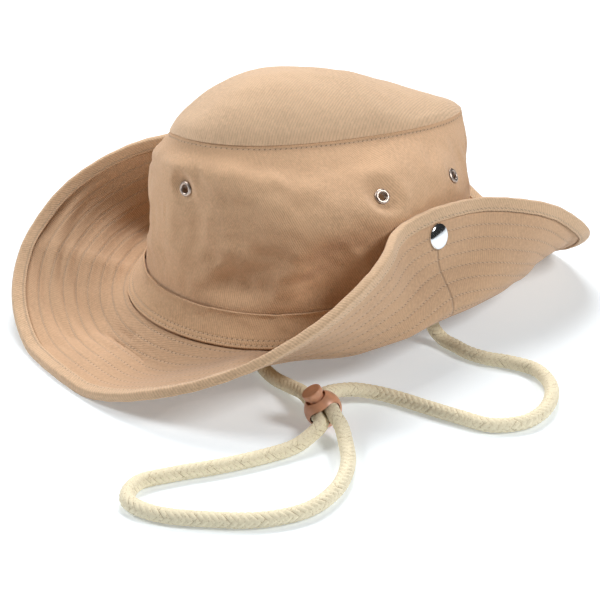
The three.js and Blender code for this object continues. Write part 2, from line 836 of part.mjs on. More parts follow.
// Button: a disc that stands off the ball, with a stem in its bore. Made along +Y from the ball's centre
function lockButtonBody() {
  const stem = lockBore / 2 - boreGap;
  const end = slotHalfHeight + buttonTravel;
  const under = seatDepth + buttonTravel + gap;
  const top = under + buttonCap;
  const edge = 0.5; // rounding of the disc's rim
  return turnedBody([
    [0, end],
    [stem, end],
    [stem, under],
    [buttonDiameter / 2, under],
    [buttonDiameter / 2, top - edge],
    [buttonDiameter / 2 - edge, top],
    [0, top],
  ], boreSteps);
}

// The hat

const hat = new THREE.Group();

function addPiece(name, body, colour, roughness, metalness = 0) {
  const material = new THREE.MeshStandardMaterial({ color: colour, roughness, metalness });
  const piece = new THREE.Mesh(body, material);
  piece.name = name;
  hat.add(piece);
  return piece;
}

// A fitting made along +Y, set on its seat
function addFitting(name, body, seat, colour, roughness, metalness) {
  const piece = addPiece(name, body, colour, roughness, metalness);
  piece.position.copy(seat.place);
  piece.quaternion.setFromUnitVectors(new THREE.Vector3(0, 1, 0), seat.axis);
}

addPiece('crown_wall', crownWall(), colours.twill, 0.9);
addPiece('crown_tip', ringBody(rounds.map(tipSection)), colours.twill, 0.9);
addPiece('hatband', ringBody(rounds.map(bandSection)), colours.band, 0.9);
addPiece('brim', brim(), colours.brim, 0.9);
addPiece('edge_binding', ringBody(rounds.map(bindingSection), bindingInside), colours.binding, 0.9);

eyelets.forEach(({ name, seat }) => addFitting(name, eyeletBody(), seat, colours.nickel, 0.35, 0.9));

Object.entries(snapSeats).forEach(([side, seat]) => {
  addFitting(`snap_socket_${side}`, snapSocketBody(), seat, colours.steel, 0.12, 1);
  addFitting(`snap_stud_${side}`, snapStudBody(), seat, colours.steel, 0.2, 1);
});

addPiece('chin_cord', chinCord(), colours.cord, 0.95);
addPiece('lock_ball', lockBall(), colours.lock, 0.45);
addFitting('lock_button', lockButtonBody(), { place: lockCentre, axis: buttonAxis }, colours.lock, 0.45, 0);

export default hat;
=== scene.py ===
"""Bush hat in tan cotton twill with snapped up sides and a chin cord on a sliding lock.

Metres, +Z up. The front of the hat faces -Y and the wearer's left is +X.
"""

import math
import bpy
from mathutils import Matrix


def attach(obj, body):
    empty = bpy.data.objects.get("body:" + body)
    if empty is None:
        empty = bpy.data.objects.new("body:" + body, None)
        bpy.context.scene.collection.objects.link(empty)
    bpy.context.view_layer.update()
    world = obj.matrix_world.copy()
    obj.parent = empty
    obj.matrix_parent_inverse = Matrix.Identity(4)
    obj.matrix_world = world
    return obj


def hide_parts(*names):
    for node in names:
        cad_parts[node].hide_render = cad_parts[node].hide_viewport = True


bl_info = {
    "name": "Bush hat",
    "version": (1, 0, 0),
    "blender": (4, 5, 0),
    "location": "View3D > Sidebar > Hat",
    "description": "Builds a cotton bush hat with its brim, trim, snaps and chin cord",
    "category": "Object",
}

import bpy
import numpy as np
from bpy.props import FloatProperty, FloatVectorProperty, PointerProperty
from mathutils import Matrix, Vector

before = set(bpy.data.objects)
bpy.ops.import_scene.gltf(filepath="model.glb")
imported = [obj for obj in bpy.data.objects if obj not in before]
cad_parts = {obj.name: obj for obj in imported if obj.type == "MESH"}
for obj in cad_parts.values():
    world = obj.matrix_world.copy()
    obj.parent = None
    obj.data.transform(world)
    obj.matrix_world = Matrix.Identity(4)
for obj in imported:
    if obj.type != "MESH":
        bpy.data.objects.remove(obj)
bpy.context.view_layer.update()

MM = 0.001
HAT_BODY = "hat"
BUTTON_BODY = "lock_press_button"

# Crown taper from the head opening (0) to the tip seam (1): share of the height above the hatband, taper
CROWN_TAPER = [(0, 0), (0.2, 0.02), (0.42, 0.08), (0.62, 0.21), (0.8, 0.45), (0.92, 0.74), (1, 1)]

# Soft dents of the crown wall: degrees round, share of the height, width, height, depth
CROWN_DENTS = [
    (38, 0.2, 17, 0.2, 0.03),
    (72, 0.12, 13, 0.16, 0.026),
    (58, 0.55, 20, 0.16, -0.02),
    (14, 0.5, 12, 0.25, 0.018),
    (-40, 0.35, 20, 0.25, 0.024),
    (-78, 0.6, 18, 0.2, 0.02),
    (165, 0.45, 24, 0.25, 0.024),
    (-150, 0.3, 18, 0.2, 0.02),
]

# Places where the soft tip seam sinks: degrees round, width, depth
TIP_SLUMPS = [(-150, 38, 0.085), (-28, 28, 0.045)]

# The brim's edge seen from its seam: degrees round, out, up, along, dip, roll
BRIM_STATIONS = [
    (0, 0.915, -0.24, 0, 38, 0.7),
    (15, 0.95, -0.155, 0.016, 36, 0.7),
    (30, 0.985, 0.048, -0.006, 26, 0.6),
    (45, 0.958, 0.277, -0.06, 14, 0.5),
    (60, 0.804, 0.529, -0.12, 6, 0.35),
    (75, 0.466, 0.721, -0.165, -4, 0.3),
    (90, 0.012, 0.82, -0.13, -6, 0.3),
    (105, -0.205, 0.856, 0.08, -5, 0.4),
    (120, 0.06, 0.839, 0.3, -18, 1.2),
    (135, 0.524, 0.683, 0.324, -6, 1.2),
    (150, 0.914, 0.331, 0.167, 20, 0.5),
    (165, 0.975, -0.01, 0.024, 29, 0.35),
    (180, 0.952, -0.235, 0, 35, 0.7),
]

BRIM_CURL = 0.3  # how far the edge turns on past its own direction
BRIM_PRESSED = (0.15, 0.6)  # share of the brim over which the snap's hold on it grows
SEAM_LEAN = 0.22  # how far a side seam of the brim lies behind the middle, per distance aside

# The eyelets with their degrees round from the front
EYELETS = [
    ("eyelet_front", 11),
    ("eyelet_side_left", 86),
    ("eyelet_side_right", -86),
    ("eyelet_rear_left", 120),
    ("eyelet_rear_right", -120),
]

# Soft folds of the crown wall in millimetres: half width, height, and the places that the fold runs through,
# each as its distance round from the front and its height above the hatband
CROWN_FOLDS = [
    (14, 5.8, [
        (-30, 74), (17, 73), (53, 71), (73, 64), (90, 54), (107, 53), (120, 56), (140, 52), (165, 40),
    ]),
    (9, -1.8, [(60, 86), (73, 82), (92, 76), (110, 78)]),
    (8, 2.8, [(74, -2), (80, 14), (89, 34), (102, 44), (122, 46)]),
    (13, -5.2, [(96, 2), (104, 20), (118, 32)]),
    (11, -3.8, [(40, 22), (52, 12), (64, 14)]),
    (6, 1.2, [(24, 8), (36, 18), (52, 26), (66, 30)]),
    (5, -0.8, [(28, 4), (40, 12), (50, 17)]),
    (4, 1.1, [(70, 2), (74, 10), (76, 20)]),
    (4, 0.9, [(80, 1), (86, 8), (88, 16)]),
    (14, 1.4, [(0, 18), (6, 40), (10, 58)]),
    (9, -0.9, [(22, 30), (28, 48), (30, 62)]),
    (11, 1.5, [(-110, 10), (-80, 44), (-40, 52)]),
    (9, -1.3, [(-70, 8), (-52, 26), (-30, 34)]),
    (12, 1.6, [(200, 12), (230, 40), (262, 50)]),
    (10, -1.5, [(180, 50), (210, 30), (240, 20)]),
    (10, 1.4, [(-240, 14), (-205, 38), (-170, 46)]),
]

# The same for the hatband, with the height above the brim seam
BAND_FOLDS = [
    (3.5, 1.0, [(30, 17), (38, 12), (50, 9)]),
    (4, -1.1, [(36, 16), (46, 12), (56, 11)]),
    (3, 1.3, [(74, 17), (80, 11), (88, 6)]),
    (3.5, -1.0, [(80, 17), (88, 10), (96, 5)]),
    (5, 0.8, [(0, 14), (10, 10), (22, 12)]),
    (4, 0.9, [(-60, 16), (-48, 9), (-30, 7)]),
    (4, -0.9, [(140, 15), (156, 9), (170, 8)]),
    (5, 1.0, [(210, 14), (228, 9), (250, 9)]),
    (5, 1.0, [(-190, 14), (-170, 9), (-140, 8)]),
]

# Chin cord, in millimetres, as it lies in the solid model
LOCK_CENTRE = (133.3, -82, 10)
BUTTON_AXIS = Vector((-0.19, -0.457, 0.869)).normalized()
SLOT_HEADING = Vector((0.924, -0.382, 0)).normalized()
CORD_FROM_LEFT = [
    (81.5, 26.4, 36), (81.5, 26.4, 28), (82, 26.6, 20), (85.2, 27.6, 10), (92, 29.5, 4.8),
    (101, 30.6, 4.1), (113, 31.2, 4.1), (124, 35, 4.1), (136, 43, 4.1), (150, 48.5, 4.1),
    (166, 45, 4.1), (181, 34, 4.1), (192, 18, 4.1), (195, 3, 4.1), (188, -13, 4.1),
    (172, -21, 4.1), (152, -29, 4.1), (136, -36, 4.6), (126, -44, 6), (121, -55, 8.6),
]
CORD_LOOP = [
    (153.5, -84.5, 9.6), (164, -89, 6), (179, -98, 4.3), (197, -117, 4.1), (206, -140, 4.1),
    (202, -163, 4.1), (187, -185, 4.1), (167, -204, 4.1), (150, -208, 4.1), (138, -196, 4.1),
    (140, -177, 4.1), (146, -154, 4.1), (150, -130, 4.1), (150.5, -111, 4.4), (147.6, -99, 6.2),
]
CORD_TO_RIGHT = [
    (108, -77.5, 7.6), (95, -77, 5.8), (79, -77, 4.2), (62, -74, 4.1), (40, -62, 4.1),
    (18, -44, 4.1), (-4, -27, 4.1), (-28, -14, 4.1), (-50, -2, 4.1), (-66, 11, 4.6),
    (-75, 20, 9), (-80.8, 25.6, 18), (-81.5, 26.4, 28), (-81.5, 26.4, 36),
]


def length_property(name, size, description):
    return FloatProperty(name=name, default=size * MM, unit="LENGTH", precision=5, description=description)


def share_property(name, share, description):
    return FloatProperty(name=name, default=share, description=description)


class HatSizes(bpy.types.PropertyGroup):
    """Sizes of the hat"""

    head_girth: length_property("Head girth", 580, "Inside girth at the top of the hatband")
    head_oval: share_property("Head oval", 1.081, "Length of the head opening over its width")
    crown_centre: length_property("Crown centre", -1.25, "Middle of the head opening along Y")
    crown_height: length_property("Crown height", 99.5, "Brim seam to the middle of the tip seam")
    crown_cloth: length_property("Crown cloth", 1.6, "Thickness of the crown wall")
    tip_length: length_property("Tip length", 187, "Length of the top panel")
    tip_width: length_property("Tip width", 95, "Width of the top panel")
    tip_shift: length_property("Tip shift", 7.5, "How far the tip lies behind the head opening")
    tip_tilt: share_property("Tip tilt", 0.065, "Fall of the tip per length towards the back")
    tip_egg: share_property("Tip egg", 0.04, "How much narrower the front of the tip is")
    tip_square: share_property("Tip square", 2.4, "2 is an ellipse, more is squarer")
    tip_rise: length_property("Tip rise", 25, "Dome of the tip above its seam")
    tip_lean: share_property("Tip lean", 0.55, "How much more the front of the dome rises")
    tip_cloth: length_property("Tip cloth", 1.6, "Thickness of the tip")
    band_height: length_property("Band height", 17, "Height of the hatband")
    band_flare: length_property("Band flare", 10.5, "Spread of the hatband at the brim")
    band_cloth: length_property("Band cloth", 1.2, "Thickness of the hatband")
    seam_height: length_property("Seam height", 17.8, "Brim seam above the surface")
    seam_lift: length_property("Seam lift", 10, "How much higher the seam is at the sides")
    brim_width: length_property("Brim width", 70, "Width of the brim with its binding")
    brim_cloth: length_property("Brim cloth", 2.6, "Thickness of the quilted brim")
    binding_width: length_property("Binding width", 8, "Cover of the binding on each side")
    binding_cloth: length_property("Binding cloth", 1, "Thickness of the binding")
    eyelet_hole: length_property("Eyelet hole", 4.6, "Inside diameter of an eyelet")
    eyelet_flange: length_property("Eyelet flange", 8.8, "Outside diameter of an eyelet")
    eyelet_height: length_property("Eyelet height", 76.5, "Eyelets above the brim seam")
    snap_round: share_property("Snap round", 103, "Degrees from the front to a snap")
    snap_height: length_property("Snap height", 51, "Snaps above the brim seam")
    snap_cap: length_property("Snap cap", 15, "Diameter of a snap's cap")
    snap_dome: length_property("Snap dome", 2.6, "Height of a snap's cap")
    snap_flat: length_property("Snap flat", 17, "Radius of cloth that a snap holds flat")
    snap_fade: length_property("Snap fade", 55, "Radius where the cloth curves freely again")
    snap_stack: length_property("Snap stack", 5.2, "Crown wall to the inner ply of the brim at a snap")
    quilt_pitch: length_property("Quilt pitch", 7.4, "Distance between the brim's rows of stitches")
    stitch_pitch: length_property("Stitch pitch", 3, "Length of a stitch with its gap")
    cord_diameter: length_property("Cord diameter", 8, "Thickness of the chin cord")
    cord_length: length_property("Cord length", 890, "Length of the chin cord")
    lock_diameter: length_property("Lock diameter", 20, "Diameter of the cord lock's ball")
    lock_bore: length_property("Lock bore", 10.8, "Diameter of the bore for the button")
    button_diameter: length_property("Button diameter", 11, "Diameter of the lock's button")
    button_cap: length_property("Button cap", 2.5, "Thickness of the button's disc")
    button_travel: length_property("Button travel", 2, "How far the button presses in")
    clearance: length_property("Clearance", 0.3, "Gap between cloth, trim and metal")


def colour_property(name, colour):
    return FloatVectorProperty(
        name=name, description=name, size=3, subtype="COLOR", min=0, max=1, default=colour
    )


class HatColours(bpy.types.PropertyGroup):
    """Colours of the hat, in linear light"""

    # Painted light: the tip is the crown's own twill, given a lighter and paler colour for the light that
    # falls on top
    tip: colour_property("Tip twill", (0.62, 0.425, 0.27))
    crown: colour_property("Crown twill", (0.61, 0.385, 0.227))
    band: colour_property("Hatband twill", (0.585, 0.37, 0.215))
    # Painted shade: the brim is the crown's own twill, given a darker colour for the shade on the brim's
    # underside
    brim: colour_property("Brim twill", (0.53, 0.335, 0.20))
    binding: colour_property("Binding tape", (0.59, 0.40, 0.25))
    thread: colour_property("Thread", (0.66, 0.49, 0.34))
    nickel: colour_property("Eyelet nickel", (0.52, 0.43, 0.37))
    steel: colour_property("Snap steel", (0.82, 0.83, 0.85))
    cord: colour_property("Cord braid", (0.84, 0.755, 0.55))
    # Used both for painted shade between the cord's strands and for its real brown specks
    cord_shade_and_specks: colour_property("Cord shade", (0.34, 0.23, 0.11))
    lock: colour_property("Cord lock", (0.64, 0.31, 0.18))
    floor: colour_property("Floor", (0.80, 0.85, 0.885))


def sizes():
    return bpy.context.scene.hat_sizes


def colours():
    return bpy.context.scene.hat_colours


# Geometry of the cloth. Rounds are degrees from the front, towards the wearer's left.


def smooth_step(value, low, high):
    share = np.clip((value - low) / (high - low), 0, 1)
    return share * share * (3 - 2 * share)


def mixed(first, second, share):
    return first + (second - first) * share


def wrapped(angle):
    return angle - 360 * np.round(angle / 360)


def unit(vectors):
    return vectors / np.linalg.norm(vectors, axis=-1, keepdims=True)


def smooth_between(start, leave, end, arrive, share):
    """A smooth way from start to end, with the slopes that it leaves and arrives with"""
    square, cube = share**2, share**3
    return (
        start * (2 * cube - 3 * square + 1)
        + leave * (cube - 2 * square + share)
        + end * (3 * square - 2 * cube)
        + arrive * (cube - square)
    )


def table_value(rows, column, at):
    """A smooth value between the rows of a table, whose first column is the place"""
    table = np.array(rows, dtype=float)
    places, values = table[:, 0], table[:, column]
    slopes = np.gradient(values, places)
    slopes[1:-1] = (values[2:] - values[:-2]) / (places[2:] - places[:-2])
    index = np.clip(np.searchsorted(places, at, side="right") - 1, 0, len(places) - 2)
    span = places[index + 1] - places[index]
    share = np.clip((at - places[index]) / span, 0, 1)
    after = index + 1
    return smooth_between(values[index], slopes[index] * span, values[after], slopes[after] * span, share)


def head_half_width():
    ratio = sizes().head_oval
    girth = math.pi * (3 * (1 + ratio) - math.sqrt((3 * ratio + 1) * (ratio + 3)))
    return sizes().head_girth / girth


def band_top():
    return sizes().seam_height + sizes().band_height


def tip_seam():
    return sizes().seam_height + sizes().crown_height


def head_oval_at(up):
    """Half width and half length of the crown below the top of the hatband"""
    spread = np.clip((band_top() - up) / sizes().band_height, 0, 1)
    flare = sizes().band_flare * spread**1.7
    half_width = head_half_width()
    cloth = sizes().crown_cloth
    return half_width + cloth + flare, half_width * sizes().head_oval + cloth + flare


def head_point(turn, up):
    half_width, half_length = head_oval_at(up)
    angle = np.radians(turn)
    start = sizes().seam_height
    fade = 1 - smooth_step(up, start, start + sizes().band_height * 2.5)
    lift = sizes().seam_lift * fade * np.sin(angle) ** 6
    across = half_width * np.sin(angle)
    along = sizes().crown_centre - half_length * np.cos(angle)
    return np.stack([across, along, up + lift], axis=-1)


def oval_normal(turn, up):
    half_width, half_length = head_oval_at(up)
    angle = np.radians(turn)
    across = np.sin(angle) / half_width
    along = -np.cos(angle) / half_length
    return unit(np.stack([across, along, across * 0], axis=-1))


def tip_plan(turn, share):
    """Place on the tip's plan, by share of the way from its middle to its seam"""
    angle = np.radians(turn)
    square = 2 / sizes().tip_square
    forward = np.cos(angle)
    aside = np.sin(angle)
    rounded_aside = np.sign(aside) * np.abs(aside) ** square
    rounded_forward = np.sign(forward) * np.abs(forward) ** square
    across = sizes().tip_width / 2 * rounded_aside * (1 - sizes().tip_egg * forward)
    along = -sizes().tip_length / 2 * rounded_forward
    slump = 0
    for place, wide, deep in TIP_SLUMPS:
        slump = slump + deep * sizes().crown_height * np.exp(-((wrapped(turn - place) / wide) ** 2))
    up = tip_seam() - share * (sizes().tip_tilt * along + slump)
    middle = sizes().crown_centre + sizes().tip_shift
    return np.stack([share * across, middle + share * along, up], axis=-1)


def crown_point(turn, up):
    """Outside of the crown wall, before the snaps press it flat"""
    turn, up = np.broadcast_arrays(np.asarray(turn, dtype=float), np.asarray(up, dtype=float))
    rise = np.clip((up - band_top()) / (tip_seam() - band_top()), 0, 1)
    taper = table_value(CROWN_TAPER, 1, rise)
    seam = tip_plan(turn, 1)
    point = head_point(turn, up)
    point[..., 0] = mixed(point[..., 0], seam[..., 0], taper)
    point[..., 1] = mixed(point[..., 1], seam[..., 1], taper)
    point[..., 2] += (seam[..., 2] - tip_seam()) * rise
    dent = 0
    for place, level, wide, tall, deep in CROWN_DENTS:
        aside = wrapped(turn - place) / wide
        above = (rise - level) / tall
        dent = dent + deep * sizes().crown_height * np.exp(-aside * aside - above * above)
    fade = smooth_step(rise, 0, 0.12) * (1 - smooth_step(rise, 0.8, 1))
    return point - oval_normal(turn, up) * (dent * fade)[..., None]


def seat_on(surface, turn, up):
    """Place and outward axis of a fitting on a surface"""
    around = surface(turn + 1, up) - surface(turn - 1, up)
    upward = surface(turn, up + MM) - surface(turn, up - MM)
    return surface(turn, up), unit(np.cross(around, upward))


def snap_seats():
    up = sizes().seam_height + sizes().snap_height
    return [seat_on(crown_point, side * sizes().snap_round, up) for side in (1, -1)]


def eyelet_seats():
    """Name, place and outward axis of each eyelet"""
    up = sizes().seam_height + sizes().eyelet_height
    return [(name, *seat_on(wall_point, turn, up)) for name, turn in EYELETS]


def held_flat(points, distance):
    """Cloth round a snap lies flat at a distance from the crown's seat"""
    moved = points.copy()
    for place, axis in snap_seats():
        arm = points - place
        depth = arm @ axis
        aside = np.linalg.norm(arm - depth[..., None] * axis, axis=-1)
        hold = 1 - smooth_step(aside, sizes().snap_flat, sizes().snap_fade)
        hold = np.where(np.abs(depth) < sizes().snap_fade, hold, 0)
        moved += axis * ((distance - depth) * hold)[..., None]
    return moved


def wall_point(turn, up):
    free = crown_point(turn, up)
    reach = smooth_step(np.asarray(up, dtype=float), band_top(), band_top() + sizes().band_height)
    return mixed(free, held_flat(free, 0), np.broadcast_to(reach, free.shape[:-1])[..., None])


def tip_point(turn, share):
    point = tip_plan(turn, share)
    lean = 1 + sizes().tip_lean * share * np.cos(np.radians(turn))
    dome = sizes().tip_rise * lean * (1 - share**2.2) ** 0.9
    point[..., 2] += sizes().clearance + sizes().tip_cloth + dome
    return point


def cut_width():
    """Width of the brim without its binding"""
    return sizes().brim_width - sizes().binding_cloth - sizes().clearance


def station_rows():
    before, after = list(BRIM_STATIONS[1]), list(BRIM_STATIONS[-2])
    before[0], before[3] = -before[0], -before[3]
    after[0], after[3] = 360 - after[0], -after[3]
    return [before, *BRIM_STATIONS, after]


def bezier(ends, share):
    start, first, second, end = (point[:, None, :] for point in ends)
    share = share[None, :, None]
    rest = 1 - share
    return start * rest**3 + 3 * first * rest**2 * share + 3 * second * rest * share**2 + end * share**3


CURVE_POINTS = 121
HALVINGS = 22  # of the interval that holds a curve's reach, until its length is the brim's width


def brim_curves(turns, shares):
    """Mid surface of the brim before the snaps: a curve at each round, cut to the brim's width"""
    width = cut_width()
    rows = station_rows()
    places = np.abs(wrapped(turns))
    side = np.where(wrapped(turns) < 0, -1.0, 1.0)
    out, up, along, dip, roll = (table_value(rows, column, places) for column in range(1, 6))
    seam = np.full_like(turns, sizes().seam_height)
    normal = oval_normal(turns, seam)
    tangent = np.stack([-normal[:, 1], normal[:, 0], normal[:, 2]], axis=-1)
    dip = np.radians(dip)[:, None]
    leave = normal * np.cos(dip)
    leave[:, 2] = -np.sin(dip[:, 0])
    front_dip = math.radians(BRIM_STATIONS[0][4])
    start = head_point(turns, seam) + normal * sizes().clearance
    start[:, 2] -= sizes().clearance * 1.6 + sizes().brim_cloth / 2 / math.cos(front_dip)
    end = start + normal * (out * width)[:, None] + tangent * (along * width * side)[:, None]
    end[:, 2] += up * width
    heading = unit(end - start)
    arrive = unit(heading * (1 + BRIM_CURL) - leave * BRIM_CURL)
    low, high = np.zeros_like(turns), np.full_like(turns, width)
    fine = np.linspace(0, 1, CURVE_POINTS)
    for _ in range(HALVINGS):
        middle = (low + high) / 2
        ends = (start, start + leave * (middle * roll)[:, None], end - arrive * middle[:, None], end)
        curve = bezier(ends, fine)
        length = np.linalg.norm(np.diff(curve, axis=1), axis=-1).sum(axis=1)
        short = length < width
        low, high = np.where(short, middle, low), np.where(short, high, middle)
    points = np.empty((len(turns), len(shares), 3))
    for row, line in enumerate(curve):
        travelled = travelled_along(line)
        for axis in range(3):
            points[row, :, axis] = np.interp(shares * travelled[-1], travelled, line[:, axis])
    return points


def brim_surface(turns, shares):
    """Mid surface of the brim as a grid of rounds by shares of its width"""
    points = brim_curves(turns, shares)
    held = held_flat(points, sizes().snap_stack + sizes().brim_cloth / 2)
    reach = smooth_step(shares, *BRIM_PRESSED)[None, :, None]
    return above_table(mixed(points, held, reach))


def above_table(points):
    """The brim's middle stays so high that its binding lies on the table"""
    rest = sizes().binding_cloth + sizes().clearance + sizes().brim_cloth / 2
    points[..., 2] = np.maximum(points[..., 2], rest)
    return points


def grid_normals(points):
    """Normals of a grid of points whose first axis runs round the hat"""
    around = np.roll(points, -1, axis=0) - np.roll(points, 1, axis=0)
    across = np.gradient(points, axis=1)
    return unit(np.cross(around, across))


def rounds(count):
    return np.arange(count) * 360.0 / count


def grid_of(first, second):
    return np.meshgrid(first, second, indexing="ij")


def way_round(turn):
    """Distance round the crown from the front"""
    return np.radians(wrapped(turn)) * (head_half_width() + sizes().crown_cloth)


# Modelling helpers

CLOTH_EDGE = 60  # degrees above which an edge of cloth stays sharp


def deselect_all():
    if bpy.context.object and bpy.context.object.mode != "OBJECT":
        bpy.ops.object.mode_set(mode="OBJECT")
    bpy.ops.object.select_all(action="DESELECT")


def make_active(piece):
    deselect_all()
    piece.select_set(True)
    bpy.context.view_layer.objects.active = piece


def named(name):
    piece = bpy.context.object
    piece.name = name
    piece.data.name = name
    return piece


def apply_place(piece):
    make_active(piece)
    bpy.ops.object.transform_apply(location=True, rotation=True, scale=True)


def add_modifier(piece, kind, **settings):
    """Adds a modifier and applies it"""
    make_active(piece)
    bpy.ops.object.modifier_add(type=kind)
    modifier = piece.modifiers[-1]
    for setting, value in settings.items():
        setattr(modifier, setting, value)
    bpy.ops.object.modifier_apply(modifier=modifier.name)


def edit(piece):
    """Opens a piece in edit mode with everything selected"""
    make_active(piece)
    bpy.ops.object.mode_set(mode="EDIT")
    bpy.ops.mesh.select_all(action="SELECT")


def finish_edit():
    bpy.ops.object.mode_set(mode="OBJECT")


def smooth(piece, angle=40):
    make_active(piece)
    bpy.ops.object.shade_smooth_by_angle(angle=math.radians(angle))


def thicken(piece, thickness, offset):
    """Gives a sheet its thickness: inwards with an offset of -1, and to both sides with 0"""
    add_modifier(piece, "SOLIDIFY", thickness=thickness, offset=offset)


def bevel(piece, width, angle):
    sharp = math.radians(angle)
    add_modifier(piece, "BEVEL", width=width, segments=3, limit_method="ANGLE", angle_limit=sharp)


def round_edges(piece, width):
    """Rounds the cut edges of a piece of cloth"""
    bevel(piece, width, CLOTH_EDGE)
    smooth(piece, CLOTH_EDGE)


def stand(piece, place, axis):
    """Turns an upright piece to an axis and moves it to a place"""
    piece.rotation_mode = "QUATERNION"
    piece.rotation_quaternion = Vector((0, 0, 1)).rotation_difference(Vector(axis))
    piece.location = Vector(place)
    apply_place(piece)
    return piece


def closed_round(grid):
    """A grid whose first row comes again at its end"""
    return np.concatenate([grid, grid[:1]])


def travelled_along(path):
    """Distance from the start of a path to each of its points"""
    return np.concatenate([[0], np.linalg.norm(np.diff(path, axis=0), axis=-1).cumsum()])


def cloth_sheet(name, points, maps, relief=None):
    """A grid primitive laid over a grid of points, with its UV maps by name, and its relief if it has one"""
    points = closed_round(points)
    around, across = points.shape[0] - 1, points.shape[1] - 1
    deselect_all()
    bpy.ops.mesh.primitive_grid_add(x_subdivisions=around, y_subdivisions=across, size=1)
    piece = named(name)
    mesh = piece.data
    flat = np.empty(len(mesh.vertices) * 3)
    mesh.vertices.foreach_get("co", flat)
    flat = flat.reshape(-1, 3)
    column = np.rint((flat[:, 0] + 0.5) * around).astype(int)
    row = np.rint((flat[:, 1] + 0.5) * across).astype(int)
    mesh.vertices.foreach_set("co", points[column, row].ravel())
    corners = np.empty(len(mesh.loops), dtype=int)
    mesh.loops.foreach_get("vertex_index", corners)
    mesh.uv_layers[0].name = "Cloth"
    for label, uv in maps.items():
        layer = mesh.uv_layers.get(label) or mesh.uv_layers.new(name=label)
        layer.data.foreach_set("uv", uv[column, row][corners].ravel())
    if relief is not None:
        attribute = mesh.attributes.new("Relief", "FLOAT", "POINT")
        attribute.data.foreach_set("value", closed_round(relief)[column, row])
    edit(piece)
    bpy.ops.mesh.remove_doubles(threshold=1e-6)
    finish_edit()
    return piece


def row_lengths(points):
    """Distance travelled round each row of a grid of points, and across its columns"""
    points = closed_round(points)
    around = np.linalg.norm(np.diff(points, axis=0), axis=-1).cumsum(axis=0)
    around = np.concatenate([np.zeros((1, points.shape[1])), around])
    across = np.linalg.norm(np.diff(points, axis=1), axis=-1).mean(axis=0).cumsum()
    across = np.concatenate([[0], across])
    return around, np.broadcast_to(across, around.shape)


def strip_maps(points):
    """UV maps in metres of a strip that was cut straight"""
    around, across = row_lengths(points)
    straight = np.broadcast_to(around[:, :1], around.shape)
    return {"Cloth": np.stack([straight, across], axis=-1), "Rows": np.stack([around, across], axis=-1)}


def ring_maps(points, inner_radius):
    """UV maps in metres of a ring that was cut flat"""
    around, across = row_lengths(points)
    turn = around[:, :1] / around[-1, 0] * 2 * math.pi
    radius = inner_radius + across
    flat = np.stack([radius * np.cos(turn), radius * np.sin(turn)], axis=-1)
    return {"Cloth": flat, "Rows": np.stack([around, across], axis=-1)}


def turned_piece(name, profile, place, axis, steps, closed=False):
    """A piece spun round an axis, drawn ring by ring as (radius, height) in metres"""
    deselect_all()
    radius, height = profile[0]
    bpy.ops.mesh.primitive_circle_add(vertices=steps, radius=radius, location=(0, 0, height))
    piece = named(name)
    apply_place(piece)
    edit(piece)
    for (before, low), (after, high) in zip(profile, profile[1:]):
        bpy.ops.mesh.extrude_edges_move(TRANSFORM_OT_translate={"value": (0, 0, high - low)})
        bpy.ops.transform.resize(
            value=(after / before, after / before, 1), center_override=(0, 0, high), orient_type="GLOBAL"
        )
    bpy.ops.mesh.select_all(action="SELECT")
    bpy.ops.mesh.remove_doubles(threshold=2e-6)
    if not closed:
        bpy.ops.mesh.select_all(action="DESELECT")
        bpy.ops.mesh.select_mode(type="EDGE")
        bpy.ops.mesh.select_non_manifold()
        bpy.ops.mesh.edge_face_add()
        bpy.ops.mesh.select_mode(type="VERT")
    bpy.ops.mesh.select_all(action="SELECT")
    bpy.ops.mesh.normals_make_consistent(inside=False)
    finish_edit()
    return stand(piece, place, axis)


def dress(piece, material, body, slot, *nodes):
    """Gives a finished piece its material and the body that it moves with, and hides the nodes that it stands
    for
    """
    piece.data.materials.clear()
    piece.data.materials.append(material)
    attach(piece, body)
    if nodes:
        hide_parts(*nodes)


# Materials


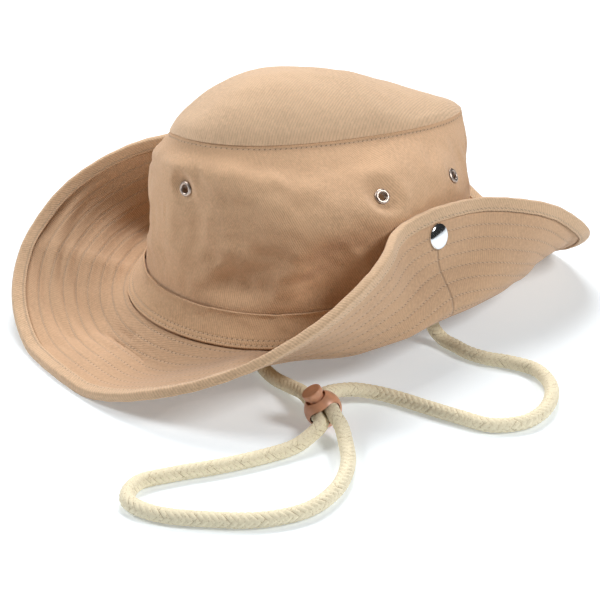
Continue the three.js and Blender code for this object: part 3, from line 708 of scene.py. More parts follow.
class Shading:
    """A material's nodes, added one after another"""

    def __init__(self, name):
        self.material = bpy.data.materials.new(name)
        self.material.use_nodes = True
        self.tree = self.material.node_tree
        self.surface = self.tree.nodes["Principled BSDF"]
        self.count = 0

    def add(self, kind, inputs=(), **settings):
        node = self.tree.nodes.new("ShaderNode" + kind)
        node.location = (-1400 + 40 * self.count, 300 - 60 * (self.count % 9))
        self.count += 1
        for setting, value in settings.items():
            setattr(node, setting, value)
        for socket, value in dict(inputs).items():
            self.feed(node.inputs[socket], value)
        return node

    def feed(self, socket, value):
        if isinstance(value, bpy.types.NodeSocket):
            self.tree.links.new(value, socket)
        else:
            socket.default_value = value

    def math(self, operation, *values):
        return self.add("Math", dict(enumerate(values)), operation=operation).outputs[0]

    def times(self, first, second):
        return self.math("MULTIPLY", first, second)

    def plus(self, first, second):
        return self.math("ADD", first, second)

    def minus(self, first, second):
        return self.math("SUBTRACT", first, second)

    def gap(self, first, second):
        """Distance between two values"""
        return self.math("ABSOLUTE", self.minus(first, second))

    def uv(self, label):
        node = self.add("UVMap", uv_map=label)
        split = self.add("SeparateXYZ", {0: node.outputs[0]})
        return node.outputs[0], split.outputs[0], split.outputs[1]

    def ramp(self, value, low, high):
        """0 below the low value and 1 above the high one"""
        node = self.add("MapRange", {0: value, 1: low, 2: high}, interpolation_type="SMOOTHSTEP")
        return node.outputs[0]

    def fade(self, value, low, high):
        """1 below the low value and 0 above the high one"""
        return self.minus(1.0, self.ramp(value, low, high))

    def noise(self, vector, scale, detail=2.0, roughness=0.5):
        inputs = {"Vector": vector, "Scale": scale, "Detail": detail, "Roughness": roughness}
        return self.add("TexNoise", inputs).outputs[0]

    def fibres(self, vector, scale, detail=2.0, roughness=0.5):
        """Noise that is stretched along one way of the cloth"""
        stretched = self.add("Mapping", {"Vector": vector, "Scale": scale}).outputs[0]
        return self.noise(stretched, 1, detail, roughness)

    def blend(self, factor, first, second):
        node = self.add("Mix", data_type="RGBA")
        colour_inputs = [socket for socket in node.inputs if socket.type == "RGBA"]
        self.feed(node.inputs[0], factor)
        self.feed(colour_inputs[0], first)
        self.feed(colour_inputs[1], second)
        return [socket for socket in node.outputs if socket.type == "RGBA"][0]

    def bump(self, height, strength, distance, normal=None):
        inputs = {"Height": height, "Strength": strength, "Distance": distance}
        if normal is not None:
            inputs["Normal"] = normal
        return self.add("Bump", inputs).outputs[0]

    def set(self, **values):
        for socket, value in values.items():
            self.feed(self.surface.inputs[socket.replace("_", " ")], value)


def rgba(colour, shade=1.0):
    return (*(channel * shade for channel in colour), 1.0)


# Stitches. Distances from the middle of a row, and shares of a stitch from its own middle, over which each
# part of it fades out or in.
THREAD_SIDE = (0.2 * MM, 0.42 * MM)
HOLE_SIDE = (0.22 * MM, 0.55 * MM)
CHANNEL_SIDE = (0.1 * MM, 1.4 * MM)
THREAD_END = (0.28, 0.4)
HOLE_START = (0.36, 0.44)
ROW_SHIFT = 0.37  # each row's stitches start this share of a stitch after the row before


def stitch_rows(shading, along, across, first, last, pitch):
    """Rows of stitches: the thread, the holes between stitches, and the soft channel that they pull in. The
    holes and the channel carry painted shade where the twill uses them.
    """
    count = shading.math("DIVIDE", shading.minus(across, first), pitch)
    nearest = shading.math("ROUND", count)
    aside = shading.times(shading.gap(count, nearest), pitch)
    past_first = shading.math("GREATER_THAN", nearest, -0.5)
    before_last = shading.math("LESS_THAN", nearest, (last - first) / pitch + 0.5)
    inside = shading.times(past_first, before_last)
    stitches = shading.math("DIVIDE", along, sizes().stitch_pitch)
    place = shading.math("FRACT", shading.plus(stitches, shading.times(nearest, ROW_SHIFT)))
    step = shading.gap(place, 0.5)
    thread = shading.times(shading.fade(aside, *THREAD_SIDE), shading.fade(step, *THREAD_END))
    hole = shading.times(shading.fade(aside, *HOLE_SIDE), shading.ramp(step, *HOLE_START))
    channel = shading.fade(aside, *CHANNEL_SIDE)
    return [shading.times(value, inside) for value in (thread, hole, channel)]


def one_row(place):
    """A single row of stitches: its place as first and last, and a pitch that no second row uses"""
    return place, place, MM


# Twill. Noise scales are counts per metre.
RIB_SLANT = (0.86, 0.5)  # how fast the ribs' phase runs along the two ways of the cloth
RIB_SWAY = 0.9 * MM
THREAD_LENGTH, THREAD_WIDTH = 420, 1500
WEAVE_VALLEY = (1.1, 0.5)
SEAM_FOLD = (0.2 * MM, 1.1 * MM)


def twill(name, colour, rows=(), rib=1.2 * MM, rib_depth=0.18 * MM, coarse=1.15, side_seams=False):
    """Cotton twill: diagonal ribs of uneven threads, faded patches, side seams and rows of stitches, with
    painted shade in the rib valleys, the seams' folds, the stitch holes and the stitch channels
    """
    shading = Shading(name)
    cloth, warp, weft = shading.uv("Cloth")
    _, along, across = shading.uv("Rows")
    slant = shading.plus(shading.times(warp, RIB_SLANT[0]), shading.times(weft, RIB_SLANT[1]))
    sway = shading.times(shading.noise(cloth, 260, detail=3), RIB_SWAY)
    ribs = shading.math("SINE", shading.times(shading.plus(slant, sway), 2 * math.pi / rib))
    slubs = shading.fibres(cloth, (THREAD_WIDTH, THREAD_LENGTH, 1))
    slubs_across = shading.fibres(cloth, (THREAD_LENGTH, THREAD_WIDTH, 1))
    weave = shading.plus(shading.times(ribs, 0.5), shading.plus(slubs, slubs_across))
    patches = shading.noise(cloth, 22, detail=3, roughness=0.6)
    specks = shading.noise(cloth, 520, detail=3, roughness=0.7)
    faded, pale, deep = rgba(colour, 1.06), rgba(colour, 1.14), rgba(colour, 0.62)
    tone = shading.blend(shading.ramp(patches, 0.3, 0.7), rgba(colour, 0.93), faded)
    tone = shading.blend(shading.ramp(specks, 0.35, 0.68), tone, pale)
    # Painted shade: where the weave is low, in the rib valleys, the colour is darkened on top of the bump
    tone = shading.blend(shading.times(shading.ramp(weave, *WEAVE_VALLEY), 0.3 * coarse), tone, deep)
    normal = shading.bump(shading.times(weave, coarse), 0.55, rib_depth)
    if side_seams:
        line = shading.times(shading.math("ABSOLUTE", weft), -SEAM_LEAN)
        fold = shading.fade(shading.gap(warp, line), *SEAM_FOLD)
        # Painted shade: the side seam's fold is darkened in the colour as well as dented
        tone = shading.blend(shading.times(fold, 0.55), tone, rgba(colour, 0.5))
        normal = shading.bump(shading.times(fold, -1.0), 0.7, 0.6 * MM, normal)
    for first, last, pitch in rows:
        thread, hole, channel = stitch_rows(shading, along, across, first, last, pitch)
        # Painted shade: the channel is darkened and the holes between stitches are painted nearly black, as
        # well as dented; the thread's colour is its own
        tone = shading.blend(shading.times(channel, 0.1), tone, rgba(colour, 0.7))
        tone = shading.blend(shading.times(thread, 0.45), tone, rgba(colours().thread))
        tone = shading.blend(shading.times(hole, 0.75), tone, rgba(colour, 0.2))
        relief = shading.minus(shading.times(thread, 0.55), channel)
        relief = shading.minus(relief, shading.times(hole, 0.6))
        normal = shading.bump(relief, 0.6, 0.3 * MM, normal)
    shading.set(Base_Color=tone, Normal=normal, Roughness=0.92, Specular_IOR_Level=0.25)
    shading.set(Sheen_Weight=0.18, Sheen_Roughness=0.55)
    return shading.material


def metal(name, colour, roughness):
    """Polished or plated metal with faint wear"""
    shading = Shading(name)
    place = shading.add("TexCoord").outputs["Object"]
    wear = shading.noise(place, 900, detail=4, roughness=0.65)
    tone = shading.blend(shading.ramp(wear, 0.35, 0.75), rgba(colour), rgba(colour, 0.9))
    rough = shading.add("MapRange", {0: wear, 3: roughness, 4: roughness + 0.12}).outputs[0]
    normal = shading.bump(wear, 0.02, 0.05 * MM)
    shading.set(Base_Color=tone, Metallic=1.0, Roughness=rough, Normal=normal)
    return shading.material


def lock_resin(name, colour):
    """Moulded copper brown resin with a soft sheen"""
    shading = Shading(name)
    place = shading.add("TexCoord").outputs["Object"]
    cloud = shading.noise(place, 160, detail=3)
    grain = shading.noise(place, 1600)
    tone = shading.blend(shading.ramp(cloud, 0.3, 0.7), rgba(colour, 0.88), rgba(colour, 1.12))
    normal = shading.bump(grain, 0.12, 0.1 * MM)
    shading.set(Base_Color=tone, Roughness=0.4, Metallic=0.08, Normal=normal)
    shading.set(Coat_Weight=0.2, Coat_Roughness=0.3)
    return shading.material


def cord_braid(name, colour, shade):
    """Cream cotton braid with brown specks, and painted shade that darkens it between its strands"""
    shading = Shading(name)
    cloth = shading.uv("Cloth")[0]
    relief = shading.add("Attribute", attribute_name="Relief").outputs["Fac"]
    fuzz = shading.fibres(cloth, (2600, 900, 1), detail=3, roughness=0.6)
    specks = shading.noise(cloth, 1000, roughness=0.6)
    # Painted shade: the colour darkens towards the shade colour where the braid's surface is low, between the
    # strands
    tone = shading.blend(shading.ramp(relief, 0.05, 0.5), rgba(shade), rgba(colour))
    tone = shading.blend(shading.times(shading.ramp(fuzz, 0.4, 0.8), 0.35), tone, rgba(colour, 1.2))
    # The brown specks are the cord's own colour
    tone = shading.blend(shading.times(shading.ramp(specks, 0.56, 0.68), 0.5), tone, rgba(shade, 1.3))
    normal = shading.bump(fuzz, 0.4, 0.3 * MM)
    shading.set(Base_Color=tone, Roughness=0.95, Normal=normal, Sheen_Weight=0.25, Specular_IOR_Level=0.2)
    return shading.material


def lit_floor(name, colour):
    """White table lit a little from beneath, and more so far from the hat"""
    shading = Shading(name)
    place = shading.add("TexCoord").outputs["Object"]
    away = shading.add("VectorMath", {0: place}, operation="LENGTH").outputs["Value"]
    glow = shading.add("MapRange", {0: away, 1: 1.3, 2: 3.4, 3: 0.24, 4: 0.8}).outputs[0]
    shading.set(Base_Color=rgba(colour), Roughness=0.9, Specular_IOR_Level=0.1)
    shading.set(Emission_Color=(0.94, 0.975, 1, 1), Emission_Strength=glow)
    return shading.material


# Pieces


WAVES = 30
SHORTEST_WAVE = 0.3  # share of the longest
SHORT_WAVES_FADE = 1.4
FOLD_ENDS = (-0.25, 0.3)  # shares of a fold's length over which it rises from its end


def crumple(first, second, seed, longest, rise):
    """Random soft waves of cloth, each at most as long as named"""
    chance = np.random.default_rng(seed)
    height = np.zeros_like(first)
    for _ in range(WAVES):
        length = longest * chance.uniform(SHORTEST_WAVE, 1)
        heading, phase = chance.uniform(0, 2 * math.pi, 2)
        place = (first * math.cos(heading) + second * math.sin(heading)) / length * 2 * math.pi + phase
        wave = np.sin(place) - 0.6 * np.abs(np.sin(place / 2 + phase))
        height += (length / longest) ** SHORT_WAVES_FADE * wave
    return rise * (height - height.mean()) / 4


def fold_height(along, up, folds):
    """Height of soft folds that run through places of a surface"""
    height = np.zeros_like(along)
    for half_width, rise, places in folds:
        places = np.array(places, dtype=float) * MM
        runs = np.diff(places, axis=0)
        lengths = np.linalg.norm(runs, axis=1)
        nearest = np.full_like(along, np.inf)
        travelled = np.zeros_like(along)
        before = 0.0
        for start, run, length in zip(places, runs, lengths):
            share = np.clip(((along - start[0]) * run[0] + (up - start[1]) * run[1]) / length**2, 0, 1)
            aside = np.hypot(along - start[0] - share * run[0], up - start[1] - share * run[1])
            closer = aside < nearest
            nearest = np.where(closer, aside, nearest)
            travelled = np.where(closer, before + share * length, travelled)
            before += length
        from_end = np.minimum(travelled, before - travelled)
        ends = smooth_step(from_end, *(share * before for share in FOLD_ENDS))
        height += rise * MM * ends * np.exp(-((nearest / (half_width * MM)) ** 2))
    return height


# Distances over which the crown's folds grow: from an eyelet, from the hatband and from the tip seam
EYELET_CALM = (4 * MM, 11 * MM)
BAND_CALM = (-3 * MM, 12 * MM)
SEAM_CALM = (2 * MM, 14 * MM)
PUCKER_DEPTH = 0.13 * MM
PUCKER_MIDDLE, PUCKER_WIDTH = 4 * MM, 3.5 * MM


def crown_relief(turn, up):
    """Folds of the crown wall and the puckers along its tip seam, outwards"""
    size = sizes()
    reach = way_round(turn)
    above = up - band_top()
    below = tip_seam() - up
    seat = np.ones_like(turn)
    for _, place in EYELETS:
        aside = wrapped(turn - place) * math.radians(head_half_width())
        near = np.hypot(aside, up - size.seam_height - size.eyelet_height)
        seat = seat * smooth_step(near, *EYELET_CALM)
    calm = smooth_step(above, *BAND_CALM) * smooth_step(below, *SEAM_CALM) * seat
    relief = fold_height(reach, above, CROWN_FOLDS) * calm
    sway = 5 * MM * np.sin(above * 70 + turn * 0.05)
    relief += crumple(reach + sway, above * 1.4, 7, 46 * MM, 0.8 * MM) * calm
    relief += crumple(reach + sway, above * 1.2, 9, 15 * MM, 0.26 * MM) * calm
    pucker = np.sin(turn * 2.9 + 2 * np.sin(turn * 0.21))
    pucker = pucker * np.exp(-(((below - PUCKER_MIDDLE) / PUCKER_WIDTH) ** 2))
    return relief + PUCKER_DEPTH * pucker


class HAT_OT_crown_wall(bpy.types.Operator):
    """Build the side of the crown as one cloth wall whose top edge is pressed over at the seam"""

    bl_idname = "hat.crown_wall"
    bl_label = "Crown wall"

    ROUNDS = 480
    ROWS = 92
    RIM = 1.5 * MM
    RIM_BEND = (15, 105, 7)  # degrees and points of the top edge's bend
    TUCK = 3.2 * MM  # wall below the brim seam
    PIERCED = 0.62  # radius of the hole for an eyelet, per diameter of the eyelet's own hole
    STITCHES = 3.7 * MM  # row of stitches below the tip seam

    def execute(self, context):
        size = sizes()
        turns = rounds(self.ROUNDS)
        heights = np.linspace(size.seam_height - self.TUCK, tip_seam(), self.ROWS)
        grid_turns, grid_heights = grid_of(turns, heights)
        points = wall_point(grid_turns, grid_heights)
        points = points + grid_normals(points) * crown_relief(grid_turns, grid_heights)[..., None]
        inward = -oval_normal(turns, np.full_like(turns, tip_seam()))[:, None]
        bend = np.radians(np.linspace(*self.RIM_BEND))[None, :, None]
        rim = points[:, -1:] + inward * (1 - np.cos(bend)) * self.RIM
        rim = rim + np.array([0, 0, 1]) * np.sin(bend) * self.RIM
        points = np.concatenate([points, rim], axis=1)
        maps = strip_maps(points)
        along, up = maps["Rows"][..., 0], maps["Rows"][..., 1]
        maps["Rows"] = np.stack([along, up.max() - up], axis=-1)
        wall = cloth_sheet("crown_side", points, maps)
        pierce(wall, size.eyelet_hole * self.PIERCED)
        thicken(wall, size.crown_cloth, -1)
        smooth(wall, CLOTH_EDGE)
        rows = [one_row(self.STITCHES)]
        dress(wall, twill("crown_twill", colours().crown, rows), HAT_BODY, "crown_twill", "crown_wall")
        return {"FINISHED"}


def pierce(wall, radius):
    """Removes the cloth inside each eyelet"""
    edit(wall)
    bpy.ops.mesh.select_mode(type="FACE")
    bpy.ops.mesh.select_all(action="DESELECT")
    finish_edit()
    centres = np.empty(len(wall.data.polygons) * 3)
    wall.data.polygons.foreach_get("center", centres)
    centres = centres.reshape(-1, 3)
    chosen = np.zeros(len(centres), dtype=bool)
    for _, seat, _ in eyelet_seats():
        chosen |= np.linalg.norm(centres - seat, axis=1) < radius
    wall.data.polygons.foreach_set("select", chosen)
    make_active(wall)
    bpy.ops.object.mode_set(mode="EDIT")
    bpy.ops.mesh.delete(type="FACE")
    bpy.ops.mesh.select_mode(type="VERT")
    finish_edit()


class HAT_OT_crown_tip(bpy.types.Operator):
    """Build the domed oval top of the crown"""

    bl_idname = "hat.crown_tip"
    bl_label = "Crown tip"

    ROUNDS = 360
    ROWS = 70
    INSET = 1.4 * MM
    EDGE_DROP = 1.2 * MM

    def execute(self, context):
        size = sizes()
        turns = rounds(self.ROUNDS)
        shares = np.linspace(0, 1, self.ROWS) ** 0.8
        grid_turns, grid_shares = grid_of(turns, shares)
        points = tip_point(grid_turns, grid_shares)
        middle = points[:, :1].mean(axis=0)
        points[:, 0] = middle
        arm = points[..., :2] - middle[..., :2]
        reach = np.maximum(np.linalg.norm(arm, axis=-1, keepdims=True), MM)
        points[..., :2] -= arm / reach * self.INSET * (grid_shares**6)[..., None]
        points[..., 2] -= self.EDGE_DROP * smooth_step(grid_shares, 0.93, 1) ** 2
        calm = (1 - smooth_step(grid_shares, 0.86, 1)) * smooth_step(grid_shares, 0, 0.12)
        across, along = points[..., 0], points[..., 1]
        ripple = crumple(across, along * 0.8, 21, 60 * MM, 0.7 * MM)
        ripple += crumple(across, along, 22, 17 * MM, 0.14 * MM)
        points[..., 2] += ripple * calm
        around, _ = row_lengths(points)
        inset = (1 - closed_round(grid_shares)) * size.tip_width / 2
        maps = {"Cloth": closed_round(points)[..., :2], "Rows": np.stack([around, inset], axis=-1)}
        tip = cloth_sheet("crown_top", points, maps)
        thicken(tip, size.tip_cloth, -1)
        smooth(tip, CLOTH_EDGE)
        # The tip's lighter colour is painted light on the top of the crown
        dress(tip, twill("tip_twill", colours().tip), HAT_BODY, "crown_twill", "crown_tip")
        return {"FINISHED"}


class HAT_OT_hatband(bpy.types.Operator):
    """Build the cloth strip round the foot of the crown"""

    bl_idname = "hat.hatband"
    bl_label = "Hatband"

    ROUNDS = 420
    ROWS = 22
    SINK = 0.2 * MM  # deepest that a fold goes in
    LIP = 0.5 * MM  # how far the top edge stands off
    STITCHES = [(1.7 * MM, 4.7 * MM, 3 * MM)]

    def execute(self, context):
        size = sizes()
        turns = rounds(self.ROUNDS)
        heights = np.linspace(size.seam_height, band_top(), self.ROWS)
        grid_turns, grid_heights = grid_of(turns, heights)
        normal = oval_normal(grid_turns, grid_heights)
        offset = size.clearance * 1.25 + size.band_cloth / 2
        points = wall_point(grid_turns, grid_heights) + normal * offset
        above = grid_heights - size.seam_height
        share = above / size.band_height
        reach = way_round(grid_turns)
        relief = crumple(reach, above * 2, 31, 26 * MM, 0.35 * MM) + fold_height(reach, above, BAND_FOLDS)
        relief *= smooth_step(share, 0.08, 0.45)
        relief = np.maximum(relief, -self.SINK) + self.LIP * smooth_step(share, 0.8, 1)
        points += normal * relief[..., None]
        band = cloth_sheet("band_strip", points, strip_maps(points))
        thicken(band, size.band_cloth, 0)
        round_edges(band, 0.5 * MM)
        material = twill("band_twill", colours().band, self.STITCHES)
        dress(band, material, HAT_BODY, "band_twill", "hatband")
        return {"FINISHED"}


FIRST_QUILT_ROW = 3 * MM  # from the brim seam
QUILT_DEPTH = 0.09 * MM


def binding_start():
    """Share of the brim's width where its binding starts"""
    size = sizes()
    return 1 - (size.binding_width - size.binding_cloth - size.clearance) / cut_width()


class HAT_OT_brim(bpy.types.Operator):
    """Build the quilted brim"""

    bl_idname = "hat.brim"
    bl_label = "Brim"

    ROUNDS = 480
    ROWS = 96

    def execute(self, context):
        size = sizes()
        turns = rounds(self.ROUNDS)
        shares = np.linspace(0, 1, self.ROWS)
        points = brim_surface(turns, shares)
        points = above_table(points + grid_normals(points) * brim_relief(turns, shares)[..., None])
        maps = ring_maps(points, size.head_girth / 2 / math.pi)
        cloth = cloth_sheet("brim_cloth", points, maps)
        thicken(cloth, size.brim_cloth, 0)
        smooth(cloth, CLOTH_EDGE)
        rows = [(FIRST_QUILT_ROW, cut_width() - size.binding_width, size.quilt_pitch)]
        # The brim's darker colour is painted shade
        material = twill("brim_twill", colours().brim, rows, side_seams=True)
        dress(cloth, material, HAT_BODY, "brim_twill", "brim")
        return {"FINISHED"}


def brim_relief(turns, shares):
    """Soft waves of the brim between its seam and its binding"""
    turn, share = grid_of(turns, shares)
    reach = np.radians(turn) * (head_half_width() + sizes().brim_width * share)
    waves = crumple(reach, share * sizes().brim_width, 41, 70 * MM, 0.7 * MM)
    quilt = np.cos(2 * math.pi * (share * cut_width() - FIRST_QUILT_ROW) / sizes().quilt_pitch)
    return (waves - QUILT_DEPTH * quilt) * np.sin(np.pi * share) ** 0.8


class HAT_OT_edge_binding(bpy.types.Operator):
    """Build the cloth tape that is folded over the brim's edge"""

    bl_idname = "hat.edge_binding"
    bl_label = "Edge binding"

    ROUNDS = 480
    LEG = 9
    BEND = 9
    EASE = 0.12 * MM
    STITCHES = 1.5 * MM  # from either edge of the tape

    def execute(self, context):
        size = sizes()
        turns = rounds(self.ROUNDS)
        shares = np.linspace(binding_start(), 1, self.LEG)
        points = brim_surface(turns, shares)
        normals = grid_normals(points)
        outward = unit(points[:, -1] - points[:, -2])
        beside = size.brim_cloth / 2 + size.clearance + size.binding_cloth / 2
        bend = np.linspace(0, math.pi, self.BEND)[1:-1]
        top = points + normals * beside
        under = (points - normals * beside)[:, ::-1]
        reach = size.clearance + size.binding_cloth / 2
        edge = points[:, -1][:, None]
        edge_normal = normals[:, -1][:, None]
        turn_over = edge + edge_normal * (np.cos(bend) * beside)[None, :, None]
        turn_over = turn_over + outward[:, None] * (np.sin(bend) * reach)[None, :, None]
        folded = np.concatenate([top, turn_over, under], axis=1)
        ease = self.EASE * np.sin(turns * 1.3 + np.sin(turns * 0.4))
        folded[..., 2] += ease[:, None]
        folded[..., 2] = np.maximum(folded[..., 2], size.binding_cloth / 2)
        maps = strip_maps(folded)
        tape = cloth_sheet("brim_tape", folded, maps)
        thicken(tape, size.binding_cloth, 0)
        round_edges(tape, 0.4 * MM)
        full = maps["Rows"][..., 1].max()
        rows = [one_row(self.STITCHES), one_row(full - self.STITCHES)]
        material = twill("binding_twill", colours().binding, rows, rib=1.5 * MM, rib_depth=0.2 * MM)
        dress(tape, material, HAT_BODY, "binding_twill", "edge_binding")
        return {"FINISHED"}


class HAT_OT_eyelets(bpy.types.Operator):
    """Build the metal eyelets of the crown"""

    bl_idname = "hat.eyelets"
    bl_label = "Eyelets"

    def execute(self, context):
        size = sizes()
        hole = size.eyelet_hole / 2
        flange = size.eyelet_flange / 2
        front = 0.5 * MM
        back = -size.crown_cloth - 0.5 * MM
        profile = [
            (hole, back),
            (hole, front),
            (hole * 1.08, front + 0.45 * MM),
            (mixed(hole, flange, 0.35), front + 0.75 * MM),
            (mixed(hole, flange, 0.7), front + 0.6 * MM),
            (flange * 0.97, front + 0.2 * MM),
            (flange, front),
            (flange * 0.95, front - 0.15 * MM),
            (hole * 1.25, front - 0.2 * MM),
            (hole * 1.2, back),
            (flange * 0.86, back - 0.1 * MM),
            (flange * 0.86, back - 0.5 * MM),
            (hole * 1.05, back - 0.5 * MM),
            (hole, back),
        ]
        material = metal("eyelet_nickel", colours().nickel, 0.34)
        for name, place, axis in eyelet_seats():
            ring = turned_piece(name.replace("eyelet", "vent"), profile, place, axis, 40, closed=True)
            smooth(ring, 50)
            dress(ring, material, HAT_BODY, "nickel", name)
        return {"FINISHED"}


class HAT_OT_snaps(bpy.types.Operator):
    """Build the polished snap caps that hold the sides up"""

    bl_idname = "hat.snaps"
    bl_label = "Snaps"

    def execute(self, context):
        size = sizes()
        outside = size.snap_stack + size.brim_cloth + size.clearance
        inside = size.snap_stack - size.clearance
        cap = size.snap_cap / 2
        lip = 0.7 * MM
        socket = 6 * MM
        post = 2 * MM
        dome = []
        for angle in np.radians(np.linspace(8, 84, 14)):
            height = outside + lip + (size.snap_dome - lip) * math.sin(angle)
            dome.append((cap * math.cos(angle), height))
        profile = [
            (3.5 * MM, inside - 3 * MM),
            (5.6 * MM, inside - 2.6 * MM),
            (socket, inside - 2 * MM),
            (socket, inside),
            (post, inside),
            (post, outside),
            (cap - 0.8 * MM, outside),
            (cap - 0.1 * MM, outside + 0.15 * MM),
            (cap, outside + 0.5 * MM),
            *dome,
        ]
        steel = metal("snap_steel", colours().steel, 0.05)
        for side, (place, axis) in zip(("left", "right"), snap_seats()):
            piece = turned_piece(f"snap_cap_{side}", profile, place, axis, 72)
            smooth(piece, 35)
            dress(piece, steel, HAT_BODY, "polished_steel", f"snap_socket_{side}")
            bpy.data.objects[f"snap_stud_{side}"].material_slots[0].material = steel
        return {"FINISHED"}


def catmull_rom(points, steps):
    """Centripetal curve through points, with a number of steps between each two"""
    points = np.array(points, dtype=float)
    ends = [2 * points[0] - points[1], *points, 2 * points[-1] - points[-2]]
    path = []
    for before, start, end, after in zip(ends, ends[1:], ends[2:], ends[3:]):
        pairs = ((before, start), (start, end), (end, after))
        gaps = [max(math.sqrt(np.linalg.norm(second - first)), 1e-4) for first, second in pairs]
        leave = (start - before) / gaps[0] - (end - before) / (gaps[0] + gaps[1]) + (end - start) / gaps[1]
        arrive = (end - start) / gaps[1] - (after - start) / (gaps[1] + gaps[2]) + (after - end) / gaps[2]
        for step in range(steps):
            path.append(smooth_between(start, leave * gaps[1], end, arrive * gaps[1], step / steps))
    path.append(points[-1])
    return np.array(path)


def even_steps(path, step):
    """The same path with points at even distances"""
    lengths = travelled_along(path)
    count = int(round(lengths[-1] / step))
    places = np.linspace(0, lengths[-1], count + 1)
    return np.stack([np.interp(places, lengths, path[:, axis]) for axis in range(3)], axis=-1)


def slot_frame():
    """Directions across the lock's slot and along its strands"""
    across = SLOT_HEADING.cross(BUTTON_AXIS).normalized()
    if across.z < 0:
        across.negate()
    return np.array(across), np.array(SLOT_HEADING)


CORD_STEP = 0.45 * MM
STRAIGHT_RUN = 0.62  # straight cord on each side of the lock's middle, per diameter of the lock


def cord_route():
    """Middle of the chin cord in metres, in even steps"""
    size = sizes()
    across, heading = slot_frame()
    centre = np.array(LOCK_CENTRE) * MM
    aside = size.cord_diameter / 2 + size.clearance / 2
    run = size.lock_diameter * STRAIGHT_RUN

    def through_lock(side, way):
        return [centre + across * side * aside + heading * way * share * run for share in (-1, 0, 1)]

    route = [
        *(np.array(point) * MM for point in CORD_FROM_LEFT),
        *through_lock(1, 1),
        *(np.array(point) * MM for point in CORD_LOOP),
        *through_lock(-1, -1),
        *(np.array(point) * MM for point in CORD_TO_RIGHT),
    ]
    return even_steps(catmull_rom(route, 24), CORD_STEP)


def carried_frames(path):
    """Two directions square to a path, carried along it without twist"""
    forward = unit(np.gradient(path, axis=0))
    side = np.cross(forward[0], (0.3, 1, 0.2))
    side /= np.linalg.norm(side)
    sides = []
    for direction in forward:
        side = side - direction * (side @ direction)
        side /= np.linalg.norm(side)
        sides.append(side)
    sides = np.array(sides)
    return sides, np.cross(forward, sides)


class HAT_OT_chin_cord(bpy.types.Operator):
    """Build the braided chin cord"""

    bl_idname = "hat.chin_cord"
    bl_label = "Chin cord"

    SIDES = 48
    STRANDS = 6
    CROSSING = 3.5 * MM
    GROOVE = 0.55 * MM
    TOLD_EACH = 8  # every eighth point of the cord goes into its path

    def execute(self, context):
        size = sizes()
        path = cord_route()
        first, second = carried_frames(path)
        travelled = travelled_along(path)
        turn = np.linspace(0, 2 * math.pi, self.SIDES + 1)
        around, along = grid_of(turn[:-1], travelled)
        relief = self.braid(around, along)
        radius = size.cord_diameter / 2 - self.GROOVE * (1 - relief)
        spoke = np.cos(around)[..., None] * first[None] + np.sin(around)[..., None] * second[None]
        points = path[None] + spoke * radius[..., None]
        uv = np.stack(grid_of(turn * size.cord_diameter / 2, travelled), axis=-1)
        cord = cloth_sheet("cord_braid", points, {"Cloth": uv}, relief)
        edit(cord)
        bpy.ops.mesh.select_all(action="DESELECT")
        bpy.ops.mesh.select_non_manifold()
        bpy.ops.mesh.edge_face_add()
        bpy.ops.mesh.select_all(action="SELECT")
        bpy.ops.mesh.normals_make_consistent(inside=False)
        finish_edit()
        smooth(cord, 80)
        material = cord_braid("cord_braid", colours().cord, colours().cord_shade_and_specks)
        dress(cord, material, HAT_BODY, "cord_braid", "chin_cord")
        return {"FINISHED"}

    def braid(self, around, along):
        """Height of the braid's surface from 0 to 1: strands both ways round, over and under by turns"""
        turn = around / (2 * math.pi) * self.STRANDS
        step = along / self.CROSSING
        right, left = turn + step, turn - step
        right_strand = np.abs(np.cos(math.pi * right)) ** 0.6
        left_strand = np.abs(np.cos(math.pi * left)) ** 0.6
        order = np.mod(np.floor(right + 0.5) + np.floor(left + 0.5), 4)
        return np.where(order < 2, right_strand, left_strand)


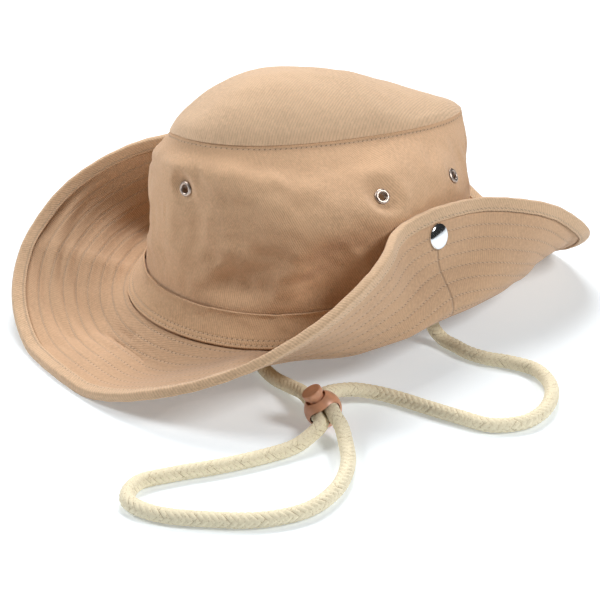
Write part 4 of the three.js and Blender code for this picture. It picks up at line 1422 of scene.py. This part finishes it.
class HAT_OT_cord_lock(bpy.types.Operator):
    """Build the sliding cord lock: a ball with a slot and its spring button"""

    bl_idname = "hat.cord_lock"
    bl_label = "Cord lock"

    ROUNDED = 0.45 * MM
    STRAND_ROOM = 0.5 * MM
    SLOT_ROOM = 0.98 * MM
    BORE_ROOM = 0.4 * MM

    def execute(self, context):
        size = sizes()
        centre = np.array(LOCK_CENTRE) * MM
        radius = size.lock_diameter / 2
        deselect_all()
        bpy.ops.mesh.primitive_uv_sphere_add(segments=72, ring_count=40, radius=radius)
        ball = named("lock_shell")
        for cutter in (self.strand_cutter(1), self.strand_cutter(-1), self.slot_cutter(), self.bore_cutter()):
            add_modifier(ball, "BOOLEAN", operation="DIFFERENCE", object=cutter, solver="EXACT")
            bpy.data.objects.remove(cutter)
        bevel(ball, self.ROUNDED, 38)
        ball.location = centre
        apply_place(ball)
        smooth(ball, 40)
        resin = lock_resin("lock_resin", colours().lock)
        dress(ball, resin, HAT_BODY, "lock_resin", "lock_ball")
        seat = math.sqrt(radius**2 - (size.lock_bore / 2) ** 2)
        bottom = size.cord_diameter / 2 + 0.5 * MM + size.button_travel
        under = seat + size.button_travel - 0.6 * MM
        top = seat + size.button_travel + size.clearance + size.button_cap
        disc = size.button_diameter / 2
        stem = disc - 1.1 * MM
        profile = [
            (stem, bottom),
            (stem, under),
            (disc - 0.3 * MM, under),
            (disc, under + 0.4 * MM),
            (disc, top - 0.6 * MM),
            (disc - 0.18 * MM, top - 0.22 * MM),
            (disc - 0.6 * MM, top),
            (disc * 0.6, top - 0.12 * MM),
            (disc * 0.25, top - 0.2 * MM),
        ]
        button = turned_piece("lock_push", profile, centre, BUTTON_AXIS, 56)
        smooth(button, 40)
        dress(button, resin, BUTTON_BODY, "lock_resin", "lock_button")
        return {"FINISHED"}

    def strand_cutter(self, side):
        size = sizes()
        across, heading = slot_frame()
        aside = size.cord_diameter / 2 + size.clearance / 2
        radius = size.cord_diameter / 2 + self.STRAND_ROOM
        return self.bar(48, radius, size.lock_diameter * 1.5, across * side * aside, heading)

    def bore_cutter(self):
        size = sizes()
        radius = size.lock_bore / 2 + self.BORE_ROOM
        return self.bar(64, radius, size.lock_diameter, BUTTON_AXIS * size.lock_diameter / 2, BUTTON_AXIS)

    def bar(self, corners, radius, length, place, axis):
        deselect_all()
        bpy.ops.mesh.primitive_cylinder_add(vertices=corners, radius=radius, depth=length)
        return stand(named("bar_cutter"), place, axis)

    def slot_cutter(self):
        """The block between the two strands"""
        size = sizes()
        across, heading = slot_frame()
        tall = size.cord_diameter + self.SLOT_ROOM
        deselect_all()
        bpy.ops.mesh.primitive_cube_add(size=1)
        cutter = named("slot_cutter")
        cutter.scale = (size.cord_diameter + size.clearance, size.lock_diameter * 1.5, tall)
        apply_place(cutter)
        columns = np.array([across, heading, np.cross(across, heading)]).T
        cutter.rotation_mode = "QUATERNION"
        cutter.rotation_quaternion = Matrix(columns.tolist()).to_quaternion()
        apply_place(cutter)
        return cutter


class HAT_OT_stage(bpy.types.Operator):
    """Set the floor, the lights and the camera"""

    bl_idname = "hat.stage"
    bl_label = "Stage"

    AIM = Vector((0, -0.00235, 0.01298))
    BACK = Vector((0.7591, -0.5120, 0.4019)).normalized()
    DISTANCE = 1.133
    LENS = 113.75
    SENSOR = 36
    SHIFT = (-0.0112, -0.0255)
    WORLD_STRENGTH = 0.03
    LAMP_DISTANCE = 1.8
    # Square lamps: name, heading and height above the table in degrees, side in metres, power in watts
    LAMPS = (
        ("top_back", 150, 58, 0.8, 26),
        ("front_left", 234, 44, 0.7, 17),
        ("side", 25, 40, 0.5, 18),
    )

    def execute(self, context):
        deselect_all()
        bpy.ops.mesh.primitive_plane_add(size=12)
        floor = named("floor")
        floor.data.materials.append(lit_floor("floor_white", colours().floor))
        self.add_camera()
        for lamp in self.LAMPS:
            self.add_light(*lamp)
        world = context.scene.world or bpy.data.worlds.new("studio")
        context.scene.world = world
        world.use_nodes = True
        background = world.node_tree.nodes["Background"]
        background.inputs["Color"].default_value = (1, 1, 1, 1)
        background.inputs["Strength"].default_value = self.WORLD_STRENGTH
        context.scene.view_settings.view_transform = "Standard"
        return {"FINISHED"}

    def add_camera(self):
        bpy.ops.object.camera_add(location=self.AIM + self.BACK * self.DISTANCE)
        camera = bpy.context.object
        camera.rotation_mode = "QUATERNION"
        camera.rotation_quaternion = self.BACK.to_track_quat("Z", "Y")
        camera.data.lens = self.LENS
        camera.data.sensor_width = self.SENSOR
        camera.data.shift_x, camera.data.shift_y = self.SHIFT
        bpy.context.scene.camera = camera

    def add_light(self, name, heading, height, side, power):
        """A square lamp that looks at the hat"""
        heading, height = math.radians(heading), math.radians(height)
        level = math.cos(height)
        away = Vector((level * math.cos(heading), level * math.sin(heading), math.sin(height)))
        bpy.ops.object.light_add(type="AREA", location=self.AIM + away * self.LAMP_DISTANCE)
        light = bpy.context.object
        light.name = name
        light.data.size = side
        light.data.energy = power
        light.rotation_mode = "QUATERNION"
        light.rotation_quaternion = away.to_track_quat("Z", "Y")


PIECES = (
    HAT_OT_stage,
    HAT_OT_cord_lock,
    HAT_OT_chin_cord,
    HAT_OT_crown_wall,
    HAT_OT_crown_tip,
    HAT_OT_hatband,
    HAT_OT_brim,
    HAT_OT_edge_binding,
    HAT_OT_eyelets,
    HAT_OT_snaps,
)


class HAT_PT_hat(bpy.types.Panel):
    """Lists the pieces of the hat"""

    bl_idname = "HAT_PT_hat"
    bl_label = "Bush hat"
    bl_space_type = "VIEW_3D"
    bl_region_type = "UI"
    bl_category = "Hat"

    def draw(self, context):
        for piece in PIECES:
            self.layout.operator(piece.bl_idname)


CLASSES = (HatSizes, HatColours, *PIECES, HAT_PT_hat)


def register():
    for kind in CLASSES:
        bpy.utils.register_class(kind)
    bpy.types.Scene.hat_sizes = PointerProperty(type=HatSizes)
    bpy.types.Scene.hat_colours = PointerProperty(type=HatColours)


def unregister():
    del bpy.types.Scene.hat_colours
    del bpy.types.Scene.hat_sizes
    for kind in reversed(CLASSES):
        bpy.utils.unregister_class(kind)


def main():
    register()
    bpy.ops.hat.stage()
    bpy.ops.hat.cord_lock()
    bpy.ops.hat.chin_cord()
    bpy.ops.hat.crown_wall()
    bpy.ops.hat.crown_tip()
    bpy.ops.hat.hatband()
    bpy.ops.hat.brim()
    bpy.ops.hat.edge_binding()
    bpy.ops.hat.eyelets()
    bpy.ops.hat.snaps()


if __name__ == "__main__":
    main()
